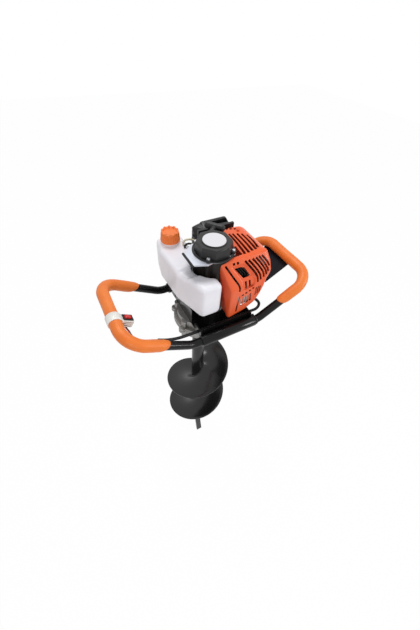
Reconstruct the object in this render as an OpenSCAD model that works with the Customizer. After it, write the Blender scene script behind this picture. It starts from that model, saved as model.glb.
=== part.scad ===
// Petrol earth auger: two bent handles on a welded base, a vertical-crank engine,
// a two-stage reduction gearbox and a helical bit. Millimetres, +Z up along the drill axis,
// origin on that axis at the level of the digging tips.

/* [Bit] */
// Length from the digging tips to the top of the stem
bit_len = 833; // [700:1:1000]
// Diameter that the flight sweeps
flight_d = 250; // [200:1:280]
// Rise of the flight in one turn
flight_pitch = 217; // [180:1:230]
// Turns of the flight
flight_turns = 2.15; // [1.5:0.05:2.2]
// Thickness of the flight plate
flight_t = 4; // [2:0.5:8]
// Height of the lower end of the flight above the tips
flight_foot = 190; // [170:1:200]
// Outer diameter of the stem tube
stem_d = 45; // [42:0.5:60]
// Wall of the stem tube
stem_wall = 4; // [3:0.5:6]
// Height of the lower end of the stem above the tips
stem_foot = 150; // [120:1:165]
// Width of a digging tine
tine_w = 26; // [16:1:30]
// Thickness of a digging tine
tine_t = 8; // [5:0.5:12]
// Distance of a tip from the drill axis
tine_spread = 50; // [35:1:70]

/* [Frame] */
// Distance between the axes of the two handle sleeves
sleeve_span = 240; // [230:1:280]
// Length of a handle sleeve
sleeve_len = 180; // [150:1:190]
// Outer diameter of a handle sleeve
sleeve_d = 33; // [31:0.5:36]
// Outer diameter of a handle tube
tube_d = 25; // [22:0.5:27]
// Wall of a handle tube
tube_wall = 2; // [1.5:0.25:4]
// Thickness of the base plate
plate_t = 5; // [4:0.5:8]
// Distance from the drill axis to the middle of the handles
frame_shift = 24; // [20:1:28]

/* [Handles] */
// Tube between the right end of a sleeve and the bend beside it
kink_gap = 14; // [13:0.5:40]
// Rise of a handle above the horizontal in degrees
handle_rise = 30.7; // [20:0.1:40]
// Length of a leg from the lower bend to the crossbar
leg_len = 203; // [190:1:240]
// Bend radius beside a sleeve
kink_r = 60; // [40:1:80]
// Bend radius at a handle corner
corner_r = 55; // [40:1:70]
// Outer diameter of a foam grip
grip_d = 33; // [31:0.5:38]
// Distance from the lower bend to the end of a grip
grip_start = 79; // [70:1:95]

/* [Gears] */
// Teeth of the clutch pinion
pinion_teeth = 11; // [11:1:12]
// Teeth of the large idler wheel
idler_teeth = 66; // [62:1:68]
// Module of the first stage
first_module = 1.1; // [1.05:0.05:1.15]
// Teeth of the small idler wheel
idler_pinion_teeth = 11; // [11:1:12]
// Teeth of the output wheel
output_teeth = 55; // [54:1:57]
// Module of the second stage
second_module = 2.25; // [2.2:0.05:2.3]
// Diameter of the output shaft
shaft_d = 25; // [22:0.5:27]

/* [Engine] */
// Cylinder bore
bore_d = 44; // [40:0.5:46]
// Throw of the crank
crank_throw = 15; // [13:0.5:17]
// Length of the connecting rod between its eyes
rod_len = 58; // [56:0.5:62]
// Outer radius of the crankcase
case_r = 46; // [44:0.5:48]
// Height of the clutch housing
clutch_h = 41; // [38:0.5:48]
// Height of the crankcase
case_h = 72; // [70:0.5:80]
// Outer radius of the fan housing
fan_r = 53; // [51:0.5:54]
// Height of the fan housing
fan_h = 89; // [84:0.5:94]
// Height of the starter housing
starter_h = 30; // [29:0.5:36]
// Corner radius of the eight-sided starter housing
starter_r = 52; // [51:0.5:54]

/* [Shroud] */
// Wall of the shroud
shroud_wall = 2.5; // [2:0.25:4]
// Width of a cooling slot
slot_w = 5; // [3:0.5:6]
// Cooling slots in the top panel
top_slots = 6; // [3:1:6]
// Cooling slots in the front slope
front_slots = 6; // [3:1:6]

/* [Tank] */
// Wall of the fuel tank
tank_wall = 2.5; // [2:0.25:4]
// Height of the fuel tank
tank_h = 106; // [90:1:110]
// Corner radius of the fuel tank
tank_round = 16; // [12:1:18]
// Inner diameter of the filler neck
neck_bore = 36; // [30:0.5:40]
// Diameter of the fuel cap
cap_d = 57; // [54:0.5:62]

/* [Controls] */
// Width of the switch clamp along the grip
clamp_w = 26; // [24:0.5:34]
// Length of the throttle lever
lever_len = 92; // [70:1:100]
// Length of the pull handle
pull_len = 62; // [54:1:90]
// Diameter of the switch loom
loom_d = 9; // [7:0.5:10]
// Diameter of a fuel hose
hose_d = 6; // [5:0.5:7]

/* [Hidden] */
$fn = 64;

// Clearances: a running fit, a seat that stays put, and open air between moving pieces
run_gap = 0.05;
seat_gap = 0.15;
air_gap = 0.6;

// Heights below are measured from the sleeve axes, which lie this far above the digging tips
boss_drop = 92;
stem_gap = 10;
sleeve_z = bit_len + stem_gap + boss_drop;

// Gear centres along X from the drill axis
idler_x = second_module * (idler_pinion_teeth + output_teeth) / 2;
crank_x = idler_x - first_module * (pinion_teeth + idler_teeth) / 2;
pressure_angle = 25;
backlash = 0.24;

// Stack of the engine above the base plate
clutch_top = plate_t + clutch_h;
case_top = clutch_top + case_h;
fan_top = case_top + fan_h;
starter_top = fan_top + starter_h;
bore_z = clutch_top + case_h / 2;

// Radii worked out from diameters
tube_r = tube_d / 2;
grip_r = grip_d / 2;
sleeve_r = sleeve_d / 2;
stem_r = stem_d / 2;
flight_r = flight_d / 2;
shaft_r = shaft_d / 2;
bore_r = bore_d / 2;
sleeve_bore_r = tube_r + 0.4;
sleeve_y = sleeve_span / 2;
sleeve_mid = frame_shift + 7;
kink_reach = sleeve_mid - frame_shift + sleeve_len / 2 + kink_gap;
handle_tail = 22;
screw_r = 3;
screw_gap = 0.2;
bolt_head_r = 5.5;
bolt_head_h = 4.5;

module deck() {
    translate([0, 0, sleeve_z]) children();
}

module at_crank() {
    translate([crank_x, 0, sleeve_z]) children();
}

// Handle frames: +X runs out from the middle of the handles, side 1 is right and -1 is left
module at_handle(side) {
    translate([frame_shift, 0, sleeve_z]) mirror([side < 0 ? 1 : 0, 0, 0]) children();
}

// The sloping plane of a handle: X up the legs from the lower bend, Z out of the plane
module on_slope(side) {
    at_handle(side) translate([kink_reach, 0, 0]) rotate([0, -handle_rise, 0]) children();
}

module bolt(shank_r, length, head_r, head_h) {
    translate([0, 0, -length]) cylinder(r = shank_r, h = length + head_h / 2);
    cylinder(r = head_r, h = head_h, $fn = 6);
}

// Plan of two circles on the X axis joined by a block a little narrower than the second one
module pill(r1, r2, x2) {
    half = r2 - 3;
    circle(r1);
    translate([x2, 0]) circle(r2);
    translate([0, -half]) square([x2, 2 * half]);
}

// Smooth curve through hand-picked points
function curve_at(p, i, t) = let(
    n = len(p) - 1,
    a = p[max(i - 1, 0)],
    b = p[i],
    c = p[min(i + 1, n)],
    d = p[min(i + 2, n)]
) 0.5 * (2 * b + (c - a) * t + (2 * a - 5 * b + 4 * c - d) * t * t + (3 * b - 3 * c + d - a) * t * t * t);
function curve(p, steps) = concat(
    [for (i = [0 : len(p) - 2], s = [0 : steps - 1]) curve_at(p, i, s / steps)],
    [p[len(p) - 1]]
);
function unit(v) = v / norm(v);
function tangents(p) = [
    for (i = [0 : len(p) - 1]) unit(p[min(i + 1, len(p) - 1)] - p[max(i - 1, 0)])
];
function carried(side, t) = unit(side - (side * t) * t);
function sides_along(t, i, side) = i == len(t)
    ? []
    : let(s = carried(side, t[i])) concat([s], sides_along(t, i + 1, s));

// Rings of points round a line, the side faces between rings, and one ring's own numbers
function rings_round(points, r, sides) = let(
    t = tangents(points),
    s = sides_along(t, 0, abs(t[0].z) > 0.8 ? [1, 0, 0] : [0, 0, 1])
) [
    for (i = [0 : len(points) - 1], k = [0 : sides - 1])
        points[i] + r * (cos(360 * k / sides) * s[i] + sin(360 * k / sides) * cross(t[i], s[i]))
];
function side_faces(rings, sides) = [
    for (i = [0 : rings - 2], k = [0 : sides - 1], half = [0, 1]) let(
        a = i * sides + k,
        b = i * sides + (k + 1) % sides
    ) half == 0 ? [a, b + sides, b] : [a, a + sides, b + sides]
];
function flipped(faces) = [for (f = faces) [for (k = [len(f) - 1 : -1 : 0]) f[k]]];
function shifted(faces, n) = [for (f = faces) [for (v = f) v + n]];

// Round cord of radius r swept along a list of points
module cord(points, r, sides = 8) {
    start = [for (k = [0 : sides - 1]) k];
    ends = [start, flipped(shifted([start], (len(points) - 1) * sides))[0]];
    polyhedron(rings_round(points, r, sides), concat(side_faces(len(points), sides), ends), convexity = 6);
}

// Open tube swept along a list of points
module swept_tube(points, r, wall, sides) {
    count = len(points) * sides;
    last = count - sides;
    walls = side_faces(len(points), sides);
    start = [for (k = [0 : sides - 1]) [k, (k + 1) % sides, count + (k + 1) % sides, count + k]];
    polyhedron(
        concat(rings_round(points, r, sides), rings_round(points, r - wall, sides)),
        concat(walls, flipped(shifted(walls, count)), start, flipped(shifted(start, last))),
        convexity = 8
    );
}

// Involute wheel with a tooth on the X axis
function involute_angle(r, base) = let(a = acos(min(1, base / r))) tan(a) * 180 / PI - a;
module wheel(teeth, size, width) {
    pitch_r = size * teeth / 2;
    base_r = pitch_r * cos(pressure_angle);
    tip_r = pitch_r + 0.95 * size;
    root_r = pitch_r - 1.25 * size;
    half_tooth = 90 / teeth - backlash / 4 / pitch_r * 180 / PI;
    foot_r = max(base_r, root_r);
    flank = [root_r, foot_r, (foot_r + pitch_r) / 2, pitch_r, tip_r];
    function half_at(r) =
        half_tooth + involute_angle(pitch_r, base_r) - involute_angle(max(r, foot_r), base_r);
    linear_extrude(width) polygon([
        for (i = [0 : teeth - 1], k = [-len(flank) : len(flank) - 1]) let(
            r = k < 0 ? flank[k + len(flank)] : flank[len(flank) - 1 - k],
            a = 360 * i / teeth + (k < 0 ? -1 : 1) * half_at(r)
        ) r * [cos(a), sin(a)]
    ]);
}

// Base: two sleeves welded to a plate with rails and end gussets
rail_h = 20;
rail_t = 5;
gusset_t = 5;
plate_x0 = sleeve_mid - sleeve_len / 2 + 4;
plate_x1 = sleeve_mid + sleeve_len / 2 - 4;
drum_bearing_r = 15;
engine_bolt_offset = 39;
handle_bolt_inset = 24;

module base_frame() color([0.1, 0.1, 0.1]) deck() difference() {
    union() {
        for (side = [-1, 1]) {
            translate([sleeve_mid - sleeve_len / 2, side * sleeve_y, 0]) rotate([0, 90, 0])
                cylinder(r = sleeve_r, h = sleeve_len);
            translate([plate_x0, side > 0 ? sleeve_y - sleeve_r - rail_t : sleeve_r - sleeve_y, 0])
                cube([plate_x1 - plate_x0, rail_t, plate_t + rail_h]);
            for (x = [plate_x0, plate_x1 - gusset_t])
                translate([x, side > 0 ? sleeve_y - sleeve_r - 34 : sleeve_r - sleeve_y - 6, 0])
                    cube([gusset_t, 40, plate_t + rail_h]);
        }
        translate([plate_x0, -sleeve_y + sleeve_r - 3, 0])
            cube([plate_x1 - plate_x0, sleeve_span - 2 * sleeve_r + 6, plate_t]);
    }
    for (side = [-1, 1])
        translate([sleeve_mid - sleeve_len / 2 - 1, side * sleeve_y, 0]) rotate([0, 90, 0])
            cylinder(r = sleeve_bore_r, h = sleeve_len + 2);
    translate([crank_x, 0, -1]) cylinder(r = drum_bearing_r + 3, h = plate_t + 2);
    each_engine_bolt() translate([0, 0, -1]) cylinder(r = screw_r + screw_gap, h = plate_t + 2);
    each_handle_bolt() translate([0, 0, -sleeve_r - 1]) cylinder(r = screw_r + screw_gap, h = sleeve_r);
    translate([plate_x0 - 1, loom_hole[0], loom_hole[1]]) rotate([0, 90, 0])
        cylinder(r = loom_d / 2 + 0.8, h = plate_x1 - plate_x0 + 2);
}

module each_engine_bolt() {
    for (x = [-1, 1], y = [-1, 1])
        translate([crank_x + x * engine_bolt_offset, y * engine_bolt_offset, 0]) children();
}

module each_handle_bolt() {
    for (x = [-1, 1], y = [-1, 1])
        translate([sleeve_mid + x * (sleeve_len / 2 - handle_bolt_inset), y * sleeve_y, 0]) children();
}

// Bolts driven up through each sleeve into its handle tube, and two that hold the guard panel
module handle_bolts() color([0.75, 0.75, 0.78]) {
    deck() each_handle_bolt() translate([0, 0, -sleeve_r - seat_gap]) rotate([180, 0, 0])
        bolt(screw_r, sleeve_r - tube_r + tube_wall + 3, bolt_head_r, bolt_head_h);
    panel_screw_places() translate([0, 0, panel_drop + panel_t + seat_gap])
        bolt(screw_r, panel_drop + panel_t - tube_r + tube_wall + 3, bolt_head_r, bolt_head_h);
}

// Bent handle tubes: straight tails, lower bends, legs, corners and a crossbar
bend_take = kink_r * tan(handle_rise / 2);
tube_sides = 28;
slope_dir = [cos(handle_rise), 0, sin(handle_rise)];
function arc(centre, from, to, r, angle, steps) = [
    for (i = [0 : steps]) centre + r * (cos(angle * i / steps) * from + sin(angle * i / steps) * to)
];
function half_line(s) = concat(
    [[handle_tail, s * sleeve_y, 0]],
    arc([kink_reach - bend_take, s * sleeve_y, kink_r], [0, 0, -1], [1, 0, 0], kink_r, handle_rise, 4),
    arc(
        [kink_reach, s * (sleeve_y - corner_r), 0] + (leg_len - corner_r) * slope_dir,
        [0, s, 0], slope_dir, corner_r, 90, 8
    )
);
front_half = half_line(-1);
handle_line = concat(half_line(1), [for (i = [len(front_half) - 1 : -1 : 0]) front_half[i]]);

module handle_tube(side) {
    difference() {
        at_handle(side) swept_tube(handle_line, tube_r, tube_wall, tube_sides);
        deck() each_handle_bolt() translate([0, 0, -tube_r - 1])
            cylinder(r = screw_r + screw_gap, h = tube_r);
        if (side > 0) panel_screw_places() cylinder(r = screw_r + screw_gap, h = tube_r + 1);
    }
}

module left_handle() color([0.06, 0.06, 0.06]) handle_tube(-1);
module right_handle() color([0.06, 0.06, 0.06]) handle_tube(1);

// Foam grips over the legs, corners and crossbar
module grip_run(r) {
    for (s = [-1, 1]) {
        translate([grip_start, s * sleeve_y, 0]) rotate([0, 90, 0])
            cylinder(r = r, h = leg_len - corner_r - grip_start);
        translate([leg_len - corner_r, s * (sleeve_y - corner_r), 0]) rotate([0, 0, s < 0 ? -90 : 0])
            rotate_extrude(angle = 90) translate([corner_r, 0]) circle(r);
    }
    translate([leg_len, sleeve_y - corner_r, 0]) rotate([90, 0, 0])
        cylinder(r = r, h = 2 * (sleeve_y - corner_r));
}

module grip(side) {
    difference() {
        on_slope(side) difference() {
            grip_run(grip_r);
            grip_run(tube_r + seat_gap);
        }
        if (side > 0) panel_screw_places() cylinder(r = screw_r + screw_gap, h = grip_r + 1);
    }
}

module left_grip() color([0.95, 0.53, 0.23]) grip(-1);
module right_grip() color([0.95, 0.53, 0.23]) grip(1);

// Guard panel: a flat sheet under the right crossbar that keeps the operator off the hot engine
panel_t = 4;
panel_y0 = -22;
panel_y1 = 96;
panel_s0 = 98;
panel_drop = grip_r + 0.3;

module panel_screw_places() {
    on_slope(1) for (y = [10, 60]) translate([leg_len, y, 0]) rotate([180, 0, 0]) children();
}

module guard_panel() color([0.13, 0.13, 0.16]) difference() {
    on_slope(1) translate([panel_s0, panel_y0, -panel_drop - panel_t])
        cube([leg_len + grip_r - panel_s0, panel_y1 - panel_y0, panel_t]);
    panel_screw_places() translate([0, 0, panel_drop - 1])
        cylinder(r = screw_r + screw_gap, h = panel_t + 2);
}

// Stop switch on the left crossbar: clamp band with a pocketed block, body and rocker
clamp_y = -33;
clamp_r = grip_r + 3;
block_s0 = leg_len - grip_r - 30;
block_top = 12;
block_drop = 9;
rocker_s = block_s0 + 15;
rocker_axis_n = block_top;
rocker_tilt = 10;

module switch_clamp() color([0.93, 0.93, 0.92]) on_slope(-1) translate([0, clamp_y, 0]) difference() {
    union() {
        translate([leg_len, clamp_w / 2, 0]) rotate([90, 0, 0]) cylinder(r = clamp_r, h = clamp_w);
        translate([block_s0, -clamp_w / 2, -block_drop])
            cube([leg_len - block_s0, clamp_w, block_top + block_drop]);
    }
    translate([leg_len, clamp_w / 2 + 1, 0]) rotate([90, 0, 0])
        cylinder(r = grip_r + seat_gap, h = clamp_w + 2);
    translate([block_s0 + 3, -8, -block_drop - 1]) cube([24, 16, block_top + block_drop + 2]);
}

module switch_body() color([0.08, 0.08, 0.08]) on_slope(-1) translate([rocker_s, clamp_y, 0]) difference() {
    union() {
        translate([-11.8, -7.8, -block_drop - 2]) cube([23.6, 15.6, block_top + block_drop + 2.2]);
        translate([-13.5, -10, block_top + 0.2]) cube([27, 20, 2.6]);
    }
    translate([-10, -6, block_top - 6]) cube([20, 12, 12]);
}

module switch_rocker() color([0.85, 0.12, 0.1]) on_slope(-1)
    translate([rocker_s, clamp_y, rocker_axis_n]) rotate([0, -rocker_tilt, 0]) difference() {
        translate([0, 5.4, 0]) rotate([90, 0, 0]) cylinder(r = 9, h = 10.8);
        translate([-20, -10, -27]) cube([40, 20, 26]);
        translate([0, 10, 21.5]) rotate([90, 0, 0]) cylinder(r = 16, h = 20);
    }

// Switch leads from the switch to the inner side of the front leg, where the loom takes them up.
// Points are [along the leg, across, out of the handle's plane].
lead_r = 1.3;
lead_s = rocker_s + 0.5;
red_points = [
    [lead_s, -33, -11.2], [lead_s, -33, -12.4], [lead_s, -33.5, -14], [lead_s - 3, -46, -14.5],
    [lead_s - 3, -58, -11],
    [lead_s - 2, -74, -8], [lead_s - 8, -90, -7], [lead_s - 26, -98, -6], [122, -98, -4.5], [100.6, -98, -4]
];
black_points = [
    [lead_s - 3.8, -33, -11.2], [lead_s - 3.8, -33, -12.4], [lead_s - 3.8, -33.5, -14],
    [lead_s - 6.6, -46, -14.5], [lead_s - 6.5, -58, -11],
    [lead_s - 5.7, -73, -8], [lead_s - 11.5, -86.5, -7], [lead_s - 27.5, -94.5, -6], [122, -94.5, -4.5],
    [100.6, -94.5, -4]
];

module switch_leads() {
    on_slope(-1) {
        color([0.8, 0.1, 0.1]) cord(curve(red_points, 2), lead_r);
        color([0.05, 0.05, 0.05]) cord(curve(black_points, 2), lead_r);
    }
}

// Loom: from the leads beside the front leg, through the gussets along the rail, round the right
// end of the base and up to the crankcase. Points are in the part's own X and Y, Z above the sleeve axes.
loom_x0 = frame_shift - kink_reach - 88;
loom_points = [
    [loom_x0, -96.3, 47.6], [loom_x0 + 25, -96.3, 33], [loom_x0 + 55, -95, 21], [-88, -92, 13],
    [-52, -91, 10.5], [-10, -91, 10],
    [35, -91, 10], [80, -91, 10], [120, -91, 10.5], [150, -91, 12], [166, -80, 18], [158, -62, 26],
    [132, -46, 31], [104, -34, 33], [84, -29, 37], [77, -28, 48]
];
loom_hole = [-91, 10.5];

module switch_loom() color([0.06, 0.06, 0.06]) deck() cord(curve(loom_points, 2), loom_d / 2, 10);

// Plastic tie round the front tube just outside the right end of its sleeve
tie_x = sleeve_mid + sleeve_len / 2 + 2;
module cable_tie() color([0.1, 0.1, 0.1]) deck() translate([tie_x, -sleeve_y, 0.4]) rotate([0, 90, 0]) {
    ring(tube_r + 2.2, tube_r + 0.8, 4.6);
    rotate([0, 0, 120]) translate([tube_r + 1.6, -3.5, -1]) cube([5, 7, 6.6]);
}

// Throttle: a clamp on the rear leg of the right handle with a sprung finger lever
throttle_s = 58;
throttle_ear = 5;
throttle_pin_n = -25;
lever_pin_r = 3;
lever_tilt = 16;

module throttle_bracket() color([0.1, 0.1, 0.1])
on_slope(1) translate([throttle_s, sleeve_y, 0]) difference() {
    union() {
        translate([-11, 0, 0]) rotate([0, 90, 0]) cylinder(r = tube_r + 4, h = 22);
        for (s = [-1, 1])
            translate([-11, s > 0 ? 4.4 : -4.4 - throttle_ear, throttle_pin_n - 7])
                cube([22, throttle_ear, 7 - throttle_pin_n]);
        translate([0, 10, throttle_pin_n]) rotate([90, 0, 0]) cylinder(r = lever_pin_r, h = 20);
    }
    translate([-12, 0, 0]) rotate([0, 90, 0]) cylinder(r = tube_r + seat_gap, h = 24);
}

module throttle_lever() color([0.12, 0.12, 0.12]) on_slope(1)
    translate([throttle_s, sleeve_y + 4, throttle_pin_n]) rotate([90, 0, 0]) linear_extrude(8) difference() {
        union() {
            circle(6.5);
            rotate(-lever_tilt) translate([0, -4]) square([lever_len, 7]);
            rotate(-lever_tilt) translate([lever_len, -1]) circle(5);
        }
        circle(lever_pin_r + run_gap);
    }

// Gearbox: two cast halves that split between the wheels
case_wall = 6;
split_z = -34;
lower_floor = -64;
lower_bottom = lower_floor - case_wall;
roof_z = -10;
output_tip_r = second_module * (output_teeth / 2 + 0.95);
idler_tip_r = first_module * (idler_teeth / 2 + 0.95);
case_in_r = output_tip_r + 2;
case_in_idler_r = idler_tip_r + 2;
lobe_r = 9;
lobe_angles = [75, 137, 203, 285];
idler_lobe_angle = 42;
upper_bearing_r = 19;
lower_bearing_r = 26;
seal_r = 20;
idler_pin_r = 6;

module each_case_bolt() {
    for (a = lobe_angles) rotate(a) translate([case_in_r + case_wall + 3, 0]) children();
    for (s = [-1, 1])
        translate([idler_x, 0]) rotate(s * idler_lobe_angle)
            translate([case_in_idler_r + case_wall + 3, 0]) children();
}

// A slice of the case, with its bolt lobes, around the space for the gears
module case_block(height) {
    linear_extrude(height) {
        pill(case_in_r + case_wall, case_in_idler_r + case_wall, idler_x);
        each_case_bolt() circle(lobe_r);
    }
}

module gear_space(height) {
    linear_extrude(height) pill(case_in_r, case_in_idler_r, idler_x);
}

module gearbox_upper() color([0.62, 0.63, 0.65]) deck() difference() {
    translate([0, 0, split_z]) case_block(-split_z);
    difference() {
        translate([0, 0, split_z - 1]) gear_space(roof_z - split_z + 1);
        translate([0, 0, roof_z - 14]) cylinder(r = upper_bearing_r + 4.2, h = 15);
        translate([idler_x, 0, -13]) cylinder(r = idler_pin_r + 4, h = 4);
    }
    translate([0, 0, roof_z - 15]) cylinder(r = upper_bearing_r + seat_gap, h = 13);
    translate([crank_x, 0, roof_z - 1]) cylinder(r = drum_bearing_r + seat_gap, h = 12);
    translate([idler_x, 0, -14]) cylinder(r = idler_pin_r + run_gap, h = 10);
    each_case_bolt() translate([0, 0, split_z - 1]) cylinder(r = screw_r + screw_gap, h = 22);
    each_engine_bolt() translate([0, 0, -9]) cylinder(r = screw_r + screw_gap, h = 10);
}

module gearbox_lower() color([0.62, 0.63, 0.65]) deck() difference() {
    union() {
        translate([0, 0, lower_bottom]) case_block(split_z - lower_bottom - seat_gap);
        translate([0, 0, -boss_drop]) cylinder(r = lower_bearing_r + 8, h = boss_drop + lower_bottom + 1);
    }
    difference() {
        translate([0, 0, lower_floor]) gear_space(split_z - lower_floor + 1);
        translate([idler_x, 0, lower_floor - 1]) cylinder(r = idler_pin_r + 4, h = 3);
    }
    translate([0, 0, lower_floor - 20]) cylinder(r = lower_bearing_r + seat_gap, h = 21);
    translate([0, 0, -boss_drop - 1]) cylinder(r = seal_r + seat_gap, h = boss_drop);
    translate([idler_x, 0, lower_floor - 4]) cylinder(r = idler_pin_r + run_gap, h = 8);
    each_case_bolt() translate([0, 0, lower_bottom - 1])
        cylinder(r = screw_r + screw_gap, h = split_z - lower_bottom + 2);
}

// Bolts that clamp the two halves from below and the engine to the base from above
flange_t = 8;
lug_reach = engine_bolt_offset * sqrt(2);
module case_bolts() color([0.75, 0.75, 0.78]) deck() {
    each_case_bolt() translate([0, 0, lower_bottom - seat_gap]) rotate([180, 0, 0])
        bolt(screw_r, split_z - lower_bottom + 18, bolt_head_r, bolt_head_h);
    each_engine_bolt() translate([0, 0, plate_t + flange_t + seat_gap])
        bolt(screw_r, plate_t + flange_t + 7, bolt_head_r, bolt_head_h);
}

// Gear train
stage_one_z = -27;
stage_one_w = 13;
stage_two_z = -60;
output_w = 20;
shaft_top = roof_z - 3;
shaft_bottom = -boss_drop - stem_gap - 60;

module output_shaft() color([0.7, 0.7, 0.72]) deck() difference() {
    union() {
        translate([0, 0, shaft_bottom]) cylinder(r = shaft_r, h = shaft_top - shaft_bottom);
        translate([0, 0, lower_floor + 1]) cylinder(r = shaft_r + 4, h = stage_two_z + 2 - lower_floor - 1);
    }
    pin_place() translate([0, 0, -stem_r - 1]) cylinder(r = pin_r + seat_gap, h = stem_d + 2);
}

module output_gear() color([0.6, 0.6, 0.62]) deck() translate([0, 0, stage_two_z + 2]) difference() {
    wheel(output_teeth, second_module, output_w);
    translate([0, 0, -1]) cylinder(r = shaft_r + run_gap, h = output_w + 2);
    for (a = [0 : 60 : 300]) rotate([0, 0, a]) translate([36, 0, -1]) cylinder(r = 9, h = output_w + 2);
}

module idler_gear() color([0.6, 0.6, 0.62]) deck() translate([idler_x, 0, 0]) difference() {
    union() {
        translate([0, 0, stage_one_z]) rotate([0, 0, 180 + 180 / idler_teeth])
            wheel(idler_teeth, first_module, stage_one_w);
        translate([0, 0, stage_two_z]) rotate([0, 0, 180 + 180 / idler_pinion_teeth])
            wheel(idler_pinion_teeth, second_module, stage_one_z - stage_two_z + 1);
    }
    translate([0, 0, stage_two_z - 1])
        cylinder(r = idler_pin_r + run_gap, h = stage_one_z + stage_one_w - stage_two_z + 2);
}

module idler_pin() color([0.7, 0.7, 0.72]) deck() translate([idler_x, 0, lower_floor - 3])
    cylinder(r = idler_pin_r, h = -lower_floor - 3);

drum_r = 39;
drum_wall = 2.7;
drum_z = plate_t + 4;
drum_h = 27;
drum_shaft_r = 7.5;

module clutch_drum() color([0.5, 0.5, 0.52]) at_crank() {
    difference() {
        translate([0, 0, drum_z]) cylinder(r = drum_r, h = drum_h);
        translate([0, 0, drum_z + 3]) cylinder(r = drum_r - drum_wall, h = drum_h);
    }
    translate([0, 0, roof_z - 2]) cylinder(r = drum_shaft_r, h = drum_z - roof_z + 3);
    translate([0, 0, stage_one_z - 0.5]) wheel(pinion_teeth, first_module, roof_z - 2 - stage_one_z + 1);
}

// Ball bearings, drawn as plain rings: two on the output shaft and one under the clutch drum
module ring(outer, inner, height) {
    difference() {
        cylinder(r = outer, h = height);
        translate([0, 0, -1]) cylinder(r = inner, h = height + 2);
    }
}

module bearings() color([0.8, 0.8, 0.82]) {
    deck() translate([0, 0, roof_z - 14]) ring(upper_bearing_r, shaft_r + run_gap, 12);
    deck() translate([0, 0, lower_floor - 20]) ring(lower_bearing_r, shaft_r + run_gap, 18);
    at_crank() translate([0, 0, roof_z + 0.2]) ring(drum_bearing_r, drum_shaft_r + run_gap, 12);
}

module shaft_seal() color([0.15, 0.15, 0.15]) deck() translate([0, 0, -boss_drop + 0.5])
    ring(seal_r, shaft_r + run_gap, 6);

// Clutch on the lower end of the crankshaft
hub_z = drum_z + drum_h - 6;
hub_t = 5;
hub_pin_r = 4;
hub_pin_x = 24;
shoe_r = drum_r - drum_wall - 0.8;
shoe_h = 16;
journal_r = 8;

module clutch_hub() color([0.55, 0.55, 0.57]) at_crank() difference() {
    union() {
        translate([0, 0, hub_z]) cylinder(r = 31, h = hub_t);
        for (s = [-1, 1]) translate([s * hub_pin_x, 0, hub_z - shoe_h - 0.5])
            cylinder(r = hub_pin_r, h = shoe_h + 1);
    }
    translate([0, 0, hub_z - 1]) cylinder(r = journal_r + seat_gap, h = hub_t + 2);
}

module clutch_shoes() color([0.45, 0.42, 0.4])
at_crank() translate([0, 0, hub_z - shoe_h - 0.3]) difference() {
    ring(shoe_r, 14, shoe_h);
    translate([-4, -shoe_r - 1, -1]) cube([8, 2 * shoe_r + 2, shoe_h + 2]);
    for (s = [-1, 1]) translate([s * hub_pin_x, 0, -1]) cylinder(r = hub_pin_r + seat_gap, h = shoe_h + 2);
    translate([0, 0, shoe_h / 2]) rotate_extrude() translate([shoe_r, 0]) square([7, 6], center = true);
}

module clutch_spring() color([0.7, 0.7, 0.72]) at_crank() translate([0, 0, hub_z - shoe_h / 2 - 0.3])
    rotate_extrude() translate([shoe_r - 1.8, 0]) circle(1.5);

// Foot flange with four bolt lugs under a plain drum
module clutch_housing() color([0.55, 0.56, 0.58]) at_crank() difference() {
    union() {
        translate([0, 0, plate_t]) cylinder(r = case_r, h = clutch_h);
        translate([0, 0, plate_t]) linear_extrude(flange_t) {
            circle(case_r + 2);
            for (a = [45:90:315]) rotate(a) {
                translate([lug_reach, 0]) circle(8);
                translate([0, -6]) square([lug_reach, 12]);
            }
        }
    }
    translate([0, 0, plate_t - 1]) cylinder(r = drum_r + 2.5, h = clutch_h + 2);
    for (a = [45:90:315]) rotate(a) translate([lug_reach, 0, plate_t - 1])
        cylinder(r = screw_r + screw_gap, h = flange_t + 2);
}

// Crankcase and crank train, held at top dead centre
case_wall_t = 12;
web_r = 29;
web_t = 9;
pin_w = 13;
spigot_r = bore_r + 3.5;
neck_len = case_r + 5;
cylinder_x = neck_len;

module crankcase() color([0.5, 0.5, 0.52]) at_crank() difference() {
    union() {
        translate([0, 0, clutch_top]) cylinder(r = case_r, h = case_h);
        translate([0, -36, bore_z - 32]) cube([neck_len, 72, 64]);
    }
    translate([0, 0, clutch_top + case_wall_t]) cylinder(r = web_r + 3, h = case_h - 2 * case_wall_t);
    translate([0, 0, bore_z]) rotate([0, 90, 0]) cylinder(r = spigot_r + seat_gap, h = neck_len + 1);
    translate([0, 0, clutch_top - 1]) cylinder(r = journal_r + run_gap, h = case_h + 2);
}

module crankshaft() color([0.65, 0.65, 0.68]) at_crank() {
    translate([0, 0, hub_z - 2]) cylinder(r = journal_r, h = bore_z - pin_w / 2 - hub_z + 2);
    translate([0, 0, bore_z - pin_w / 2 - web_t]) cylinder(r = web_r, h = web_t);
    translate([crank_throw, 0, bore_z - pin_w / 2 - 1]) cylinder(r = 7, h = pin_w + 2);
    translate([0, 0, bore_z + pin_w / 2]) cylinder(r = web_r, h = web_t);
    translate([0, 0, bore_z + pin_w / 2]) cylinder(r = journal_r, h = case_top + 42 - bore_z - pin_w / 2);
}

module connecting_rod() color([0.65, 0.65, 0.68])
at_crank() translate([crank_throw, 0, bore_z - 5]) difference() {
    linear_extrude(10) {
        circle(12);
        translate([rod_len, 0]) circle(9);
        translate([0, -5]) square([rod_len, 10]);
    }
    translate([0, 0, -1]) cylinder(r = 7 + run_gap, h = 12);
    translate([rod_len, 0, -1]) cylinder(r = 5 + run_gap, h = 12);
}

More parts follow.
